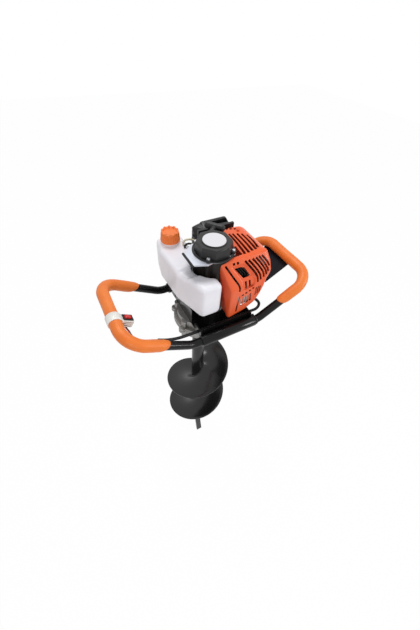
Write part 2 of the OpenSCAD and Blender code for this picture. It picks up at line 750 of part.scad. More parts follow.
piston_x = crank_throw + rod_len;
module piston() color([0.75, 0.75, 0.77]) at_crank() translate([piston_x, 0, bore_z]) {
    difference() {
        translate([-16, 0, 0]) rotate([0, 90, 0]) cylinder(r = bore_r - run_gap, h = 36);
        translate([-17, 0, 0]) rotate([0, 90, 0]) cylinder(r = bore_r - 3, h = 31);
    }
    translate([0, 0, -bore_r + 2]) cylinder(r = 5, h = bore_d - 4);
}

head_x = piston_x + 22;
barrel_len = head_x + 10 - cylinder_x;
fin_count = 7;
fin_t = 2.5;
fin_pitch = 8.4;
fin_w = 70;
port_x = 34;
port_r = 10;
port_reach = fin_w / 2 + 2;
plug_r = 6;

module cylinder_block() color([0.6, 0.6, 0.62]) at_crank() translate([cylinder_x, 0, bore_z]) difference() {
    union() {
        rotate([0, 90, 0]) cylinder(r = bore_r + 9, h = barrel_len);
        for (i = [0 : fin_count - 1])
            translate([i * fin_pitch, -fin_w / 2, -fin_w / 2]) cube([i == 0 ? 6 : fin_t, fin_w, fin_w]);
        translate([-14, 0, 0]) rotate([0, 90, 0]) cylinder(r = spigot_r, h = 15);
        translate([port_x - 16, -port_reach, -16]) cube([32, 2 * port_reach, 32]);
    }
    translate([-15, 0, 0]) rotate([0, 90, 0]) cylinder(r = bore_r, h = head_x - cylinder_x + 15);
    translate([head_x - cylinder_x - 1, 0, 0]) rotate([0, 90, 0]) cylinder(r = plug_r + seat_gap, h = 20);
    translate([port_x, port_reach + 1, 0]) rotate([90, 0, 0]) cylinder(r = port_r, h = 2 * port_reach + 2);
}

module spark_plug() color([0.9, 0.9, 0.88])
at_crank() translate([head_x + 10, 0, bore_z]) rotate([0, 90, 0]) {
    translate([0, 0, -9]) cylinder(r = plug_r, h = 10);
    translate([0, 0, seat_gap]) cylinder(r = 11, h = 9, $fn = 6);
    translate([0, 0, 9]) cylinder(r = 5.5, h = 26);
}

module plug_boot() color([0.08, 0.08, 0.08]) at_crank() translate([head_x + 10, 0, bore_z]) rotate([0, 90, 0])
    difference() {
        union() {
            translate([0, 0, 18]) cylinder(r = 9, h = 24);
            translate([0, 0, 34]) rotate([0, -90, 0]) cylinder(r = 6, h = 22);
        }
        translate([0, 0, 17]) cylinder(r = 5.5 + seat_gap, h = 18.3);
    }

// Flywheel fan, ignition coil, fan housing and recoil starter above the crankcase
fan_wall = 2.5;
fan_floor = 3;
flywheel_r = fan_r - 8;
flywheel_z = case_top + 6;
blade_count = 14;
module flywheel() color([0.6, 0.6, 0.62]) at_crank() translate([0, 0, flywheel_z]) difference() {
    union() {
        cylinder(r = flywheel_r, h = 6);
        cylinder(r = 16, h = fan_top - flywheel_z - 4);
        for (i = [0 : blade_count - 1]) rotate([0, 0, 360 * i / blade_count])
            translate([24, -1.5, 5]) cube([flywheel_r - 25, 3, 22]);
    }
    translate([0, 0, -1]) cylinder(r = journal_r + seat_gap, h = 40);
}

coil_x = flywheel_r + 2;
module ignition_coil() color([0.1, 0.1, 0.1]) at_crank() translate([coil_x, -16, case_top + 3.2]) {
    cube([28, 32, 20]);
    translate([6, 6, 19]) cube([16, 20, 10]);
}

screw_angles = [126, 226, 321];
boss_r = 6.5;
boss_h = 28;
boss_pitch_r = fan_r;
cover_screw_r = 2.5;
module each_starter_screw() {
    for (a = screw_angles) rotate(a) translate([boss_pitch_r, 0]) children();
}

// Posts beside the rim carry the shroud
post_places = [[66, 60], [111, 54]];
post_r = 6;
module each_shroud_screw() {
    for (p = post_places) translate(p) children();
}

// Top ledge of the fan housing, which runs out over the tank
ledge_t = 4;
ledge_plan = [[0, 40], [-43, 47], [-79, 18], [-79, -36], [-42, -50], [0, -40]];

// Round cup with screw bosses up its wall, a ledge, two posts on arms, and an outlet to the fins
module fan_housing() color([0.78, 0.79, 0.8]) at_crank() difference() {
    union() {
        translate([0, 0, case_top]) linear_extrude(fan_h) {
            circle(fan_r);
            each_starter_screw() circle(boss_r);
        }
        translate([0, 0, fan_top - ledge_t]) linear_extrude(ledge_t) polygon(ledge_plan);
        for (p = post_places) rotate([0, 0, atan2(p.y, p.x)])
            translate([fan_r - 6, -4, shroud_top - 16]) cube([norm(p) - fan_r + 6, 8, 10]);
        each_shroud_screw() translate([0, 0, shroud_top - 18])
            cylinder(r = post_r, h = 18 - shroud_wall - seat_gap);
    }
    translate([0, 0, case_top + fan_floor]) cylinder(r = fan_r - fan_wall, h = fan_h - fan_floor - boss_h);
    translate([0, 0, fan_top - boss_h - 1]) linear_extrude(boss_h + 2) difference() {
        circle(fan_r - fan_wall - 0.5);
        each_starter_screw() circle(boss_r);
    }
    translate([0, 0, case_top - 1]) cylinder(r = 20, h = 6);
    translate([20, -32, case_top + fan_floor]) cube([60, 64, fan_h - 24]);
    each_starter_screw() translate([0, 0, fan_top - 14]) cylinder(r = cover_screw_r + screw_gap, h = 15);
    each_shroud_screw() translate([0, 0, shroud_top - 16]) cylinder(r = cover_screw_r + screw_gap, h = 17);
}

reel_z = fan_top + 14;
reel_r = 28;
reel_h = 14;
reel_post_r = 6;
pull_angle = 41;
starter_in_r = 43;
lug_t = 6;
nose_end = 67;
rope_d = 4;

module starter_shell() {
    rotate([0, 0, 22.5]) {
        linear_extrude(starter_h - 8, scale = 0.97) circle(starter_r, $fn = 8);
        translate([0, 0, starter_h - 8]) linear_extrude(8, scale = 0.94) circle(0.97 * starter_r, $fn = 8);
    }
}

module starter_housing() color([0.2, 0.2, 0.21]) at_crank() difference() {
    union() {
        translate([0, 0, fan_top]) starter_shell();
        each_starter_screw() translate([0, 0, fan_top]) cylinder(r = boss_r, h = lug_t);
        rotate([0, 0, pull_angle]) translate([30, reel_r, reel_z]) rotate([0, 90, 0])
            cylinder(r = 7.5, h = nose_end - 31);
    }
    difference() {
        translate([0, 0, fan_top - 1]) cylinder(r = starter_in_r, h = starter_h - 4);
        translate([0, 0, reel_z - reel_h / 2 - 3]) cylinder(r = reel_post_r, h = starter_h);
    }
    each_starter_screw() translate([0, 0, fan_top + lug_t]) cylinder(r = boss_r, h = starter_h);
    each_starter_screw() translate([0, 0, fan_top - 1])
        cylinder(r = cover_screw_r + screw_gap, h = lug_t + 2);
    rotate([0, 0, pull_angle]) translate([20, reel_r, reel_z]) rotate([0, 90, 0])
        cylinder(r = rope_d / 2 + 0.8, h = nose_end);
}

module starter_reel() color([0.75, 0.75, 0.7]) at_crank() translate([0, 0, reel_z]) difference() {
    union() {
        translate([0, 0, -reel_h / 2]) cylinder(r = reel_r + 6, h = 3);
        translate([0, 0, reel_h / 2 - 3]) cylinder(r = reel_r + 6, h = 3);
        translate([0, 0, -reel_h / 2]) cylinder(r = reel_r - rope_d / 2 - air_gap, h = reel_h);
    }
    translate([0, 0, -reel_h]) cylinder(r = reel_post_r + run_gap, h = 2 * reel_h);
}

module starter_rope() color([0.85, 0.83, 0.75]) at_crank() rotate([0, 0, pull_angle])
    translate([4, reel_r, reel_z]) rotate([0, 90, 0]) cylinder(r = rope_d / 2, h = nose_end - 4);

module pull_handle() color([0.08, 0.08, 0.08]) at_crank() rotate([0, 0, pull_angle])
    translate([nose_end, reel_r, reel_z]) {
        translate([air_gap, 0, 0]) rotate([0, 90, 0]) cylinder(r = 7, h = 12);
        translate([17, pull_len / 2 - 10, 0]) rotate([90, 0, 0]) cylinder(r = 10, h = pull_len - 20);
        for (s = [-1, 1]) translate([17, s * (pull_len / 2 - 10), 0]) sphere(10);
    }

// Screws of the starter and of the shroud
module cover_screws() color([0.8, 0.8, 0.82]) {
    at_crank() each_starter_screw() translate([0, 0, fan_top + lug_t + seat_gap])
        bolt(cover_screw_r, lug_t + 10, 4.5, 4);
    at_crank() each_shroud_screw() translate([0, 0, shroud_top + seat_gap]) bolt(cover_screw_r, 12, 4.5, 3);
}

// Shroud over the cylinder, with a muffler cover in front; lengths run from the crank axis
shroud_top = fan_top - 2;
shroud_y0 = -50;
shroud_y1 = 80;
shroud_foot = 40;
cover_foot = 20;
cover_y = -96;
cover_x0 = 8;
cover_x1 = 144;
cover_top = 130;
cover_low_x1 = 120;
cover_low_z = 54;
slope_top = shroud_top - 1;
lean_y = shroud_y0 - 3;

// Rolls of the cover over the cylinder: X, height and radius
barrel_rolls = [
    [118, shroud_top - 40, 40], [142, 110, 40], [128, 62, 34], [62, shroud_top - 10, 10], [62, 40, 10]
];
module barrel_hood(grow) {
    hull() for (p = barrel_rolls)
        translate([p[0], shroud_y1 + grow, p[1]]) rotate([90, 0, 0])
            cylinder(r = p[2] + grow, h = shroud_y1 - shroud_y0 + 2 * grow, $fn = 40);
}

// Outline of a flat convex drawing moved inwards, its points running anticlockwise
function inset(p, d) = [
    for (i = [0 : len(p) - 1]) let(
        n = len(p),
        before = unit(p[i] - p[(i + n - 1) % n]),
        after = unit(p[(i + 1) % n] - p[i]),
        m = [-before.y, before.x],
        k = [-after.y, after.x]
    ) p[i] + d * (m + k) / (1 + m * k)
];

// Muffler cover: where its side view, front view and plan run through each other
back_y = shroud_y0 + 12;
side_view = [
    [cover_y, cover_foot], [back_y, cover_foot], [back_y, slope_top], [lean_y + 5, slope_top],
    [lean_y, slope_top - 4], [cover_y, cover_top]
];
front_view = [
    [cover_x0, cover_foot], [cover_low_x1, cover_low_z], [cover_x1 - 6, cover_top - 14],
    [cover_x1, cover_top + 28], [cover_x1, slope_top + 3], [cover_x0 - 20, slope_top + 3],
    [cover_x0 - 12, cover_top + 40], [cover_x0, cover_top]
];
cover_plan = [
    [cover_x0 - 30, cover_y - 3], [cover_x0 + 80, cover_y - 3], [cover_x0 + 108, cover_y + 3],
    [cover_x1 - 6, cover_y + 14], [cover_x1 + 3, cover_y + 28], [cover_x1 + 3, back_y + 3],
    [cover_x0 - 30, back_y + 3]
];
module muffler_hood(wall) {
    intersection() {
        translate([cover_x0 - 40, 0, 0]) rotate([90, 0, 90]) linear_extrude(cover_x1 + 60)
            polygon(inset(side_view, wall));
        translate([0, back_y + 10, 0]) rotate([90, 0, 0]) linear_extrude(120)
            polygon(inset(front_view, wall));
        linear_extrude(starter_top) polygon(inset(cover_plan, wall));
    }
}

// A straight slot between two points of a flat drawing
module bar(from, to, width) {
    along = to - from;
    translate(from) rotate(atan2(along.y, along.x)) translate([0, -width / 2]) square([norm(along), width]);
}

// Drawing plane of the leaning front: X across, Y down from its upper edge as a minus
lean_angle = atan2(slope_top - 4 - cover_top, lean_y - cover_y);
module on_lean() {
    translate([0, lean_y, slope_top - 4]) rotate([lean_angle, 0, 0]) translate([0, 0, -15])
        linear_extrude(30) children();
}

module lean_slots() {
    for (i = [0 : front_slots - 1]) {
        knee = [92 + 9.8 * i, 2 * i - 52];
        bar([62 + 11 * i, -9], knee, slot_w);
        bar(knee - [1, -2], [96 + 8.6 * i, 6.5 * i - 80], slot_w);
    }
    bar([3, -9], [31.5, -70], 4);
    bar([30.5, -67], [35, -86], 4);
    bar([58.5, -67], [61, -86], 4);
    bar([71.6, -66], [74, -84], 4);
    for (x = [27.6, 40.1]) translate([x, -10]) square([6, 4.5], center = true);
    polygon([[30.5, -25], [57.8, -26], [73.4, -52], [53.3, -53.5]]);
}

// Openings of the upright front: a grille, a row of small holes and narrow slots; X across, Y up
module front_slots_low() {
    for (i = [0 : 4]) bar([47.5 + 8 * i, 66 + 3.2 * i], [46.5 + 8 * i, 94 + i], slot_w);
    for (i = [0 : 3]) translate([49 + 11.7 * i, 102.5 + 3.3 * i]) square([5.5, 4], center = true);
    bar([34.4, 48], [36, 103], 3.5);
    for (i = [0 : 2]) bar([94 + 7 * i, 84 + 2 * i], [95 + 7 * i, 110], 3);
}

module shroud_slots() {
    translate([0, 0, shroud_top - 12]) linear_extrude(14) {
        for (i = [0 : top_slots - 1])
            bar([77.5 + 10.5 * i, 48.5 - 6.1 * i], [60 + 11.8 * i, 1.3 * i - 45], slot_w);
        for (i = [0 : 2]) translate([83 + 11 * i, 72 - 2 * i]) square([7, 5], center = true);
    }
    on_lean() lean_slots();
    translate([0, cover_y + 16, 0]) rotate([90, 0, 0]) linear_extrude(28) front_slots_low();
}

foot_rise = atan2(cover_low_z - cover_foot, cover_low_x1 - cover_x0);
module shroud() color([0.92, 0.37, 0.21]) at_crank() difference() {
    union() {
        barrel_hood(0);
        muffler_hood(0);
    }
    barrel_hood(-shroud_wall);
    muffler_hood(shroud_wall);
    translate([0, 0, -10]) linear_extrude(starter_top) {
        circle(fan_r + 1.5);
        each_starter_screw() circle(boss_r + 1.5);
    }
    translate([-20, shroud_y0 - 12, -10]) cube([240, 160, shroud_foot + 10]);
    translate([40, shroud_y0 + shroud_wall, 0])
        cube([22, shroud_y1 - shroud_y0 - 2 * shroud_wall, shroud_top - shroud_wall]);
    translate([50, shroud_y1 - 10, shroud_foot - 1]) cube([70, 20, 90]);
    translate([cover_x0, cover_y + 12, cover_foot]) rotate([0, -foot_rise, 0])
        translate([-40, 0, -60]) cube([240, 60, 74]);
    shroud_slots();
    each_shroud_screw() translate([0, 0, shroud_top - 20]) cylinder(r = cover_screw_r + screw_gap, h = 24);
}

// Muffler box on the exhaust port
muffler_y0 = cover_y + 7;
muffler_y1 = -port_reach - 12;
module muffler() color([0.35, 0.33, 0.31]) at_crank() difference() {
    union() {
        translate([22, muffler_y0, 60]) cube([80, muffler_y1 - muffler_y0, 56]);
        translate([cylinder_x + port_x, -port_reach - seat_gap, bore_z]) rotate([90, 0, 0])
            cylinder(r = port_r + 5, h = 13);
    }
    translate([cylinder_x + port_x, -port_reach + 1, bore_z]) rotate([90, 0, 0])
        cylinder(r = port_r, h = 30);
    translate([56, muffler_y0 - 1, 93]) rotate([-90, 0, 0]) cylinder(r = 7, h = 16);
}

// Carburettor on the intake port, with its primer bulb, and the air cleaner behind it
carb_x = cylinder_x + port_x;
carb_y1 = 98;
primer_r = 9;
module carburettor() color([0.7, 0.7, 0.72]) at_crank() difference() {
    union() {
        translate([carb_x - 18, port_reach + seat_gap + 8, bore_z - 18])
            cube([36, carb_y1 - port_reach - 8.4, 36]);
        translate([carb_x, port_reach + seat_gap, bore_z]) rotate([-90, 0, 0])
            cylinder(r = port_r + 6, h = 9);
        translate([carb_x, port_reach + 30, bore_z + 17]) cylinder(r = 8, h = 12);
    }
    translate([carb_x, port_reach - 1, bore_z]) rotate([-90, 0, 0]) cylinder(r = port_r, h = 80);
    translate([carb_x, port_reach + 30, bore_z - 19]) cylinder(r = primer_r + 0.5, h = 6);
}

module primer_bulb() color([0.75, 0.2, 0.15]) at_crank() translate([carb_x, port_reach + 30, bore_z - 16.5])
    rotate([180, 0, 0]) rotate_extrude() {
        square([primer_r, 6]);
        translate([0, 6]) intersection() {
            circle(primer_r - 1);
            square(primer_r);
        }
    }

filter_x0 = 6;
filter_x1 = 126;
filter_z0 = 60;
filter_z1 = shroud_top - 2;
filter_y0 = carb_y1 + seat_gap;
filter_base_t = 8;
cover_y0 = filter_y0 + filter_base_t + seat_gap;
filter_y1 = 150;
filter_wall = 2.5;
choke_pin_r = 3;
choke_x = filter_x0 + 28;
choke_z = bore_z + 12;

module filter_base() color([0.09, 0.09, 0.1]) at_crank() difference() {
    union() {
        translate([filter_x0, filter_y0, filter_z0])
            cube([filter_x1 - filter_x0, filter_base_t, filter_z1 - filter_z0]);
        translate([choke_x, filter_y0 + 1, choke_z]) rotate([90, 0, 0]) cylinder(r = choke_pin_r, h = 7);
    }
    translate([carb_x, filter_y0 - 1, bore_z]) rotate([-90, 0, 0])
        cylinder(r = port_r, h = filter_base_t + 2);
}

module choke_lever() color([0.12, 0.12, 0.12])
at_crank() translate([choke_x, filter_y0 - 1, choke_z]) rotate([90, 0, 0])
    difference() {
        linear_extrude(3) {
            circle(7);
            translate([-30, -3.5]) square([30, 7]);
            translate([-30, 0]) circle(6);
        }
        translate([0, 0, -1]) cylinder(r = choke_pin_r + run_gap, h = 5);
    }

module filter_element() color([0.3, 0.3, 0.28]) at_crank() difference() {
    translate([filter_x0 + 12, filter_y0 + filter_base_t + seat_gap, filter_z0 + 12])
        cube([filter_x1 - filter_x0 - 24, 34, filter_z1 - filter_z0 - 40]);
    translate([filter_x0 + 30, filter_y0 + filter_base_t, filter_z0 + 30])
        cube([filter_x1 - filter_x0 - 60, 26, filter_z1 - filter_z0 - 76]);
}

// Rounded rectangle of the cover, drawn in X and Z and run along Y
cover_round = 14;
module filter_outline(wall) {
    x0 = filter_x0 + cover_round;
    x1 = filter_x1 - cover_round;
    z0 = filter_z0 + cover_round;
    z1 = filter_z1 - cover_round;
    r = cover_round - wall;
    for (x = [x0, x1], z = [z0, z1]) translate([x, z]) circle(r);
    translate([x0 - r, z0]) square([x1 - x0 + 2 * r, z1 - z0]);
    translate([x0, z0 - r]) square([x1 - x0, z1 - z0 + 2 * r]);
}

module filter_cover() color([0.09, 0.09, 0.1]) at_crank() difference() {
    translate([0, filter_y1, 0]) rotate([90, 0, 0]) linear_extrude(filter_y1 - cover_y0) filter_outline(0);
    translate([0, filter_y1 - filter_wall, 0]) rotate([90, 0, 0])
        linear_extrude(filter_y1 - cover_y0) filter_outline(filter_wall);
    translate([filter_x1 - 40, filter_y0 + 18, filter_z1 - 30]) cube([60, 22, 14]);
}

// Fuel tank: a blow-moulded shell wrapped round the fan housing, with a filler neck
tank_z = 58;
tank_plan = [[-33, -76], [1, -76], [-5, 160], [-52, 160], [-63, 110], [-59, 10]];
tank_clear_r = boss_pitch_r + boss_r + 2;
neck_x = -34;
neck_y = 136;
neck_wall = 5;
neck_h = 12;
collar_h = 6;
tank_top = tank_z + tank_h;

// Rounded outline round the plan's points at one height, and the shell that such outlines make
corner_steps = 4;
function corner_turn(k) = let(
    n = len(tank_plan),
    into = tank_plan[k] - tank_plan[(k + n - 1) % n],
    out = tank_plan[(k + 1) % n] - tank_plan[k],
    from = atan2(into.y, into.x) - 90,
    to = atan2(out.y, out.x) - 90
) [from, to < from ? to + 360 : to];
function tank_outline(r, z) = [
    for (k = [0 : len(tank_plan) - 1], i = [0 : corner_steps]) let(
        turn = corner_turn(k),
        a = turn[0] + (turn[1] - turn[0]) * i / corner_steps
    ) [tank_plan[k].x + r * cos(a), tank_plan[k].y + r * sin(a), z]
];
edge_angles = [0, 22, 46, 72];
steepest = sin(72);
module tank_body(grow) {
    r = tank_round + grow;
    low = tank_z + tank_round;
    high = tank_top - tank_round;
    rings = concat(
        [for (i = [3 : -1 : 0]) let(a = edge_angles[i]) tank_outline(r * cos(a), low - r * sin(a) / steepest)],
        [for (a = edge_angles) tank_outline(r * cos(a), high + r * sin(a) / steepest)]
    );
    n = len(rings[0]);
    foot = [for (i = [0 : n - 1]) i];
    caps = [foot, flipped(shifted([foot], n * (len(rings) - 1)))[0]];
    polyhedron([for (ring = rings, p = ring) p], concat(side_faces(len(rings), n), caps), convexity = 6);
}

module fuel_tank() color([0.93, 0.93, 0.9]) deck() difference() {
    union() {
        difference() {
            tank_body(0);
            translate([crank_x, 0, tank_z - 1]) cylinder(r = tank_clear_r, h = tank_h + 2);
        }
        translate([neck_x, neck_y, tank_top - 1]) {
            cylinder(r = neck_bore / 2 + neck_wall + 2, h = collar_h + 1);
            cylinder(r = neck_bore / 2 + neck_wall, h = neck_h + collar_h + 1);
        }
    }
    difference() {
        tank_body(-tank_wall);
        translate([crank_x, 0, tank_z - 1]) cylinder(r = tank_clear_r + tank_wall, h = tank_h + 2);
    }
    translate([neck_x, neck_y, tank_top - 2 * tank_wall])
        cylinder(r = neck_bore / 2, h = neck_h + collar_h + 3 * tank_wall);
}

cap_h = 34;
cap_flutes = 24;
cap_z = tank_top + collar_h + 1;
module fuel_cap() color([0.92, 0.45, 0.2]) deck() translate([neck_x, neck_y, cap_z]) difference() {
    cylinder(r = cap_d / 2, h = cap_h);
    translate([0, 0, -1]) cylinder(r = neck_bore / 2 + neck_wall + air_gap, h = neck_h + 0.3);
    for (i = [0 : cap_flutes - 1]) rotate([0, 0, 360 * i / cap_flutes])
        translate([cap_d / 2 + 1, 0, 5]) cylinder(r = 2.4, h = cap_h, $fn = 16);
}

// Sheet-metal cradle that carries the tank on the base
bracket_t = 3;
module tank_bracket() color([0.55, 0.56, 0.58]) deck() {
    translate([plate_x0, -50, plate_t]) cube([20, 114, bracket_t]);
    translate([plate_x0, -50, plate_t]) cube([bracket_t, 114, tank_z - plate_t - seat_gap]);
    translate([plate_x0, -50, tank_z - bracket_t - seat_gap]) cube([36, 150, bracket_t]);
}

// Fuel hoses from the tank's top to the carburettor
hose_foot = tank_top + 0.4;
feed_points = [
    [-6, 106, hose_foot], [-6, 106, hose_foot + 4], [-6, 106, hose_foot + 9], [2, 104, tank_top + 17],
    [18, 99, tank_top + 16], [38, 91, 164], [58, 87, 138], [76, 88, 112], [90, 88.5, 96], [98.2, 88.5, 95]
];
return_points = [
    [-8, 92, hose_foot], [-8, 92, hose_foot + 3], [-8, 92, hose_foot + 6], [0, 91, tank_top + 12],
    [14, 88, tank_top + 8], [32, 84, 152], [52, 82, 122], [70, 85, 92], [89, 88.5, 75], [98.2, 88.5, 74]
];
module fuel_hoses() deck() {
    color([0.85, 0.8, 0.62]) cord(curve(feed_points, 2), hose_d / 2);
    color([0.08, 0.08, 0.08]) cord(curve(return_points, 2), hose_d / 2);
}

// Bit: stem with a socket for the output shaft, helical flight, forked point and cross pin
pin_r = 4;
pin_drop = 30;
socket_h = 64;
module pin_place() {
    translate([0, 0, -boss_drop - stem_gap - pin_drop]) rotate([0, 90, 0]) children();
}

module auger_stem() color([0.25, 0.25, 0.26]) difference() {
    translate([0, 0, stem_foot]) cylinder(r = stem_r, h = bit_len - stem_foot);
    translate([0, 0, stem_foot - 1])
        cylinder(r = stem_r - stem_wall, h = bit_len - stem_foot - socket_h + 1);
    translate([0, 0, stem_foot]) cylinder(r = shaft_r + seat_gap, h = bit_len);
    deck() pin_place() translate([0, 0, -stem_r - 1]) cylinder(r = pin_r + seat_gap, h = stem_d + 2);
}

flight_steps = 36;
flight_gap = 0.25;
flight_a0 = 15;
flight_in_r = (stem_r + flight_gap) / cos(180 / flight_steps);
flight_rings = round(flight_turns * flight_steps);
function flight_section(i) = let(
    a = flight_a0 + 360 * flight_turns * i / flight_rings,
    z = flight_foot + flight_pitch * flight_turns * i / flight_rings,
    out = [cos(a), sin(a), 0]
) [
    flight_in_r * out + [0, 0, z],
    flight_r * out + [0, 0, z],
    flight_r * out + [0, 0, z + flight_t],
    flight_in_r * out + [0, 0, z + flight_t]
];

module auger_flight() color([0.25, 0.25, 0.26]) {
    verts = [for (i = [0 : flight_rings], p = flight_section(i)) p];
    walls = [
        for (i = [0 : flight_rings - 1], k = [0 : 3], half = [0, 1]) let(
            n = (k + 1) % 4,
            a = 4 * i + k,
            b = 4 * i + n
        ) half == 0 ? [a, b, b + 4] : [a, b + 4, a + 4]
    ];
    ends = [[3, 2, 1, 0], [for (k = [0 : 3]) 4 * flight_rings + k]];
    polyhedron(verts, concat(walls, ends), convexity = 10);
}

tine_lean = atan2(tine_spread - stem_r + tine_t / 2, stem_foot - 20);
module auger_point() color([0.2, 0.2, 0.21]) intersection() {
    union() {
        translate([0, 0, stem_foot - 34]) cylinder(r = stem_r, h = 34);
        for (s = [0, 180]) rotate([0, 0, s])
            translate([-tine_w / 2, -stem_r + tine_t / 2, stem_foot - 20]) rotate([-tine_lean, 0, 0])
                translate([0, -tine_t, -220]) cube([tine_w, tine_t, 236]);
    }
    translate([-100, -100, 0]) cube([200, 200, stem_foot]);
}

module cross_pin() color([0.75, 0.75, 0.78]) deck() pin_place() {
    translate([0, 0, -stem_r - 8]) cylinder(r = pin_r, h = stem_d + 16);
    translate([0, 0, stem_r + 1]) cylinder(r = pin_r + 3, h = 5);
}

base_frame();
left_handle();
right_handle();
left_grip();
right_grip();
handle_bolts();
guard_panel();
switch_clamp();
switch_body();
switch_rocker();
switch_leads();
switch_loom();
cable_tie();
throttle_bracket();
throttle_lever();
gearbox_upper();
gearbox_lower();
case_bolts();
output_shaft();
output_gear();
idler_gear();
idler_pin();
clutch_drum();
bearings();
shaft_seal();
clutch_hub();
clutch_shoes();
clutch_spring();
clutch_housing();
crankcase();
crankshaft();
connecting_rod();
piston();
cylinder_block();
spark_plug();
plug_boot();
ignition_coil();
flywheel();
fan_housing();
starter_housing();
starter_reel();
starter_rope();
pull_handle();
cover_screws();
muffler();
shroud();
carburettor();
primer_bulb();
choke_lever();
filter_base();
filter_element();
filter_cover();
fuel_tank();
fuel_cap();
tank_bracket();
fuel_hoses();
auger_stem();
auger_flight();
auger_point();
cross_pin();
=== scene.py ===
import math

import bmesh
import bpy
from mathutils import Matrix, Vector, noise


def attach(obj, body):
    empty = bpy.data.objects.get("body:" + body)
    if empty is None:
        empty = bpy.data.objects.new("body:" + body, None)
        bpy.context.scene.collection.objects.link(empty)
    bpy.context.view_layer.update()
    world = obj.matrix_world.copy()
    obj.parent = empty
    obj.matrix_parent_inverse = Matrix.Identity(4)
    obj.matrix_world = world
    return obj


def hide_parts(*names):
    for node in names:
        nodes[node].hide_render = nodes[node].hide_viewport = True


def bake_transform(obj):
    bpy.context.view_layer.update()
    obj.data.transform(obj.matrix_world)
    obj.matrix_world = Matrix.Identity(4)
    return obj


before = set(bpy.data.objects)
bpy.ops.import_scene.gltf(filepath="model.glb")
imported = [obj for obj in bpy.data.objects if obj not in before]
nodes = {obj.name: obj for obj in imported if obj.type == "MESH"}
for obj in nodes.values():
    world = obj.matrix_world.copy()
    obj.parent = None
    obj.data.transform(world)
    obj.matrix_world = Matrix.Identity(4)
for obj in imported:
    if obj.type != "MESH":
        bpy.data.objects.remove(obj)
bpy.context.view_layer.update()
scene = bpy.context.scene
scene.view_settings.view_transform = "Standard"

# Studio: the camera stands above the left front corner and looks down along the drill.
# A white room with a large overhead softbox and two side boxes lights the tool evenly.
camera_place = Vector((-0.2983, -0.5271, 1.5923))
camera_right = Vector((0.8756, -0.4793, 0.0602))
camera_up = Vector((0.3276, 0.6809, 0.655))
camera_back = Vector((-0.3549, -0.5538, 0.7532))
camera_data = bpy.data.cameras.new("photo_camera")
camera_data.lens = 16.22
camera_data.sensor_width = 36.0
camera = bpy.data.objects.new("photo_camera", camera_data)
scene.collection.objects.link(camera)
camera.matrix_world = Matrix((
    (camera_right.x, camera_up.x, camera_back.x, camera_place.x),
    (camera_right.y, camera_up.y, camera_back.y, camera_place.y),
    (camera_right.z, camera_up.z, camera_back.z, camera_place.z),
    (0, 0, 0, 1),
))
scene.camera = camera


def softbox(name, place, target, size, power):
    light = bpy.data.lights.new(name, "AREA")
    light.shape = "RECTANGLE"
    light.size, light.size_y = size
    light.energy = power
    lamp = bpy.data.objects.new(name, light)
    scene.collection.objects.link(lamp)
    lamp.location = place
    lamp.rotation_euler = (Vector(target) - Vector(place)).to_track_quat("-Z", "Y").to_euler()


tool_middle = (0.03, 0.0, 0.95)
softbox("top_softbox", (0.2, 0.7, 2.9), tool_middle, (0.9, 0.7), 19.0)
softbox("left_softbox", (-1.3, -2.3, 1.8), tool_middle, (0.6, 0.9), 17.0)
softbox("right_softbox", (1.9, -1.6, 1.7), tool_middle, (0.5, 0.9), 18.0)


def white_to_the_eye(tree):
    path = tree.nodes.new("ShaderNodeLightPath")
    seen = path.outputs["Is Camera Ray"]
    for ray in ("Is Glossy Ray", "Is Transmission Ray"):
        more = tree.nodes.new("ShaderNodeMath")
        more.operation = "MAXIMUM"
        tree.links.new(seen, more.inputs[0])
        tree.links.new(path.outputs[ray], more.inputs[1])
        seen = more.outputs[0]
    return seen


room = bpy.data.worlds.new("white_room")
scene.world = room
room.use_nodes = True
room_light = room.node_tree.nodes["Background"]
room_level = room.node_tree.nodes.new("ShaderNodeMapRange")
room_level.inputs["To Min"].default_value = 0.5
room_level.inputs["To Max"].default_value = 1.0
room.node_tree.links.new(white_to_the_eye(room.node_tree), room_level.inputs["Value"])
room.node_tree.links.new(room_level.outputs[0], room_light.inputs["Strength"])
room_light.inputs["Color"].default_value = (1, 1, 1, 1)

bpy.ops.object.select_all(action="DESELECT")
bpy.ops.mesh.primitive_plane_add(size=14, location=(0, 0, -0.0005))
floor = bpy.context.object
floor.name = "studio_floor"
floor_paper = bpy.data.materials.new("floor_paper")
floor_paper.use_nodes = True
floor_tree = floor_paper.node_tree
floor_tree.nodes.clear()
floor_out = floor_tree.nodes.new("ShaderNodeOutputMaterial")
floor_mix = floor_tree.nodes.new("ShaderNodeMixShader")
floor_matt = floor_tree.nodes.new("ShaderNodeBsdfDiffuse")
floor_matt.inputs["Color"].default_value = (0.88, 0.88, 0.88, 1)
floor_glow = floor_tree.nodes.new("ShaderNodeEmission")
floor_share = floor_tree.nodes.new("ShaderNodeMath")
floor_share.operation = "MULTIPLY"
floor_share.inputs[1].default_value = 0.98
floor_tree.links.new(white_to_the_eye(floor_tree), floor_share.inputs[0])
floor_tree.links.new(floor_share.outputs[0], floor_mix.inputs["Fac"])
floor_tree.links.new(floor_matt.outputs[0], floor_mix.inputs[1])
floor_tree.links.new(floor_glow.outputs[0], floor_mix.inputs[2])
floor_tree.links.new(floor_mix.outputs[0], floor_out.inputs["Surface"])
floor.data.materials.append(floor_paper)

# Base frame: two tube sleeves welded to a folded steel plate with rails and end gussets.
# Gloss black powder paint, thin on the edges where the steel shows through.


def shade(red, green, blue):
    def linear(value):
        value /= 255
        return value / 12.92 if value <= 0.04045 else ((value + 0.055) / 1.055) ** 2.4
    return (linear(red), linear(green), linear(blue), 1)


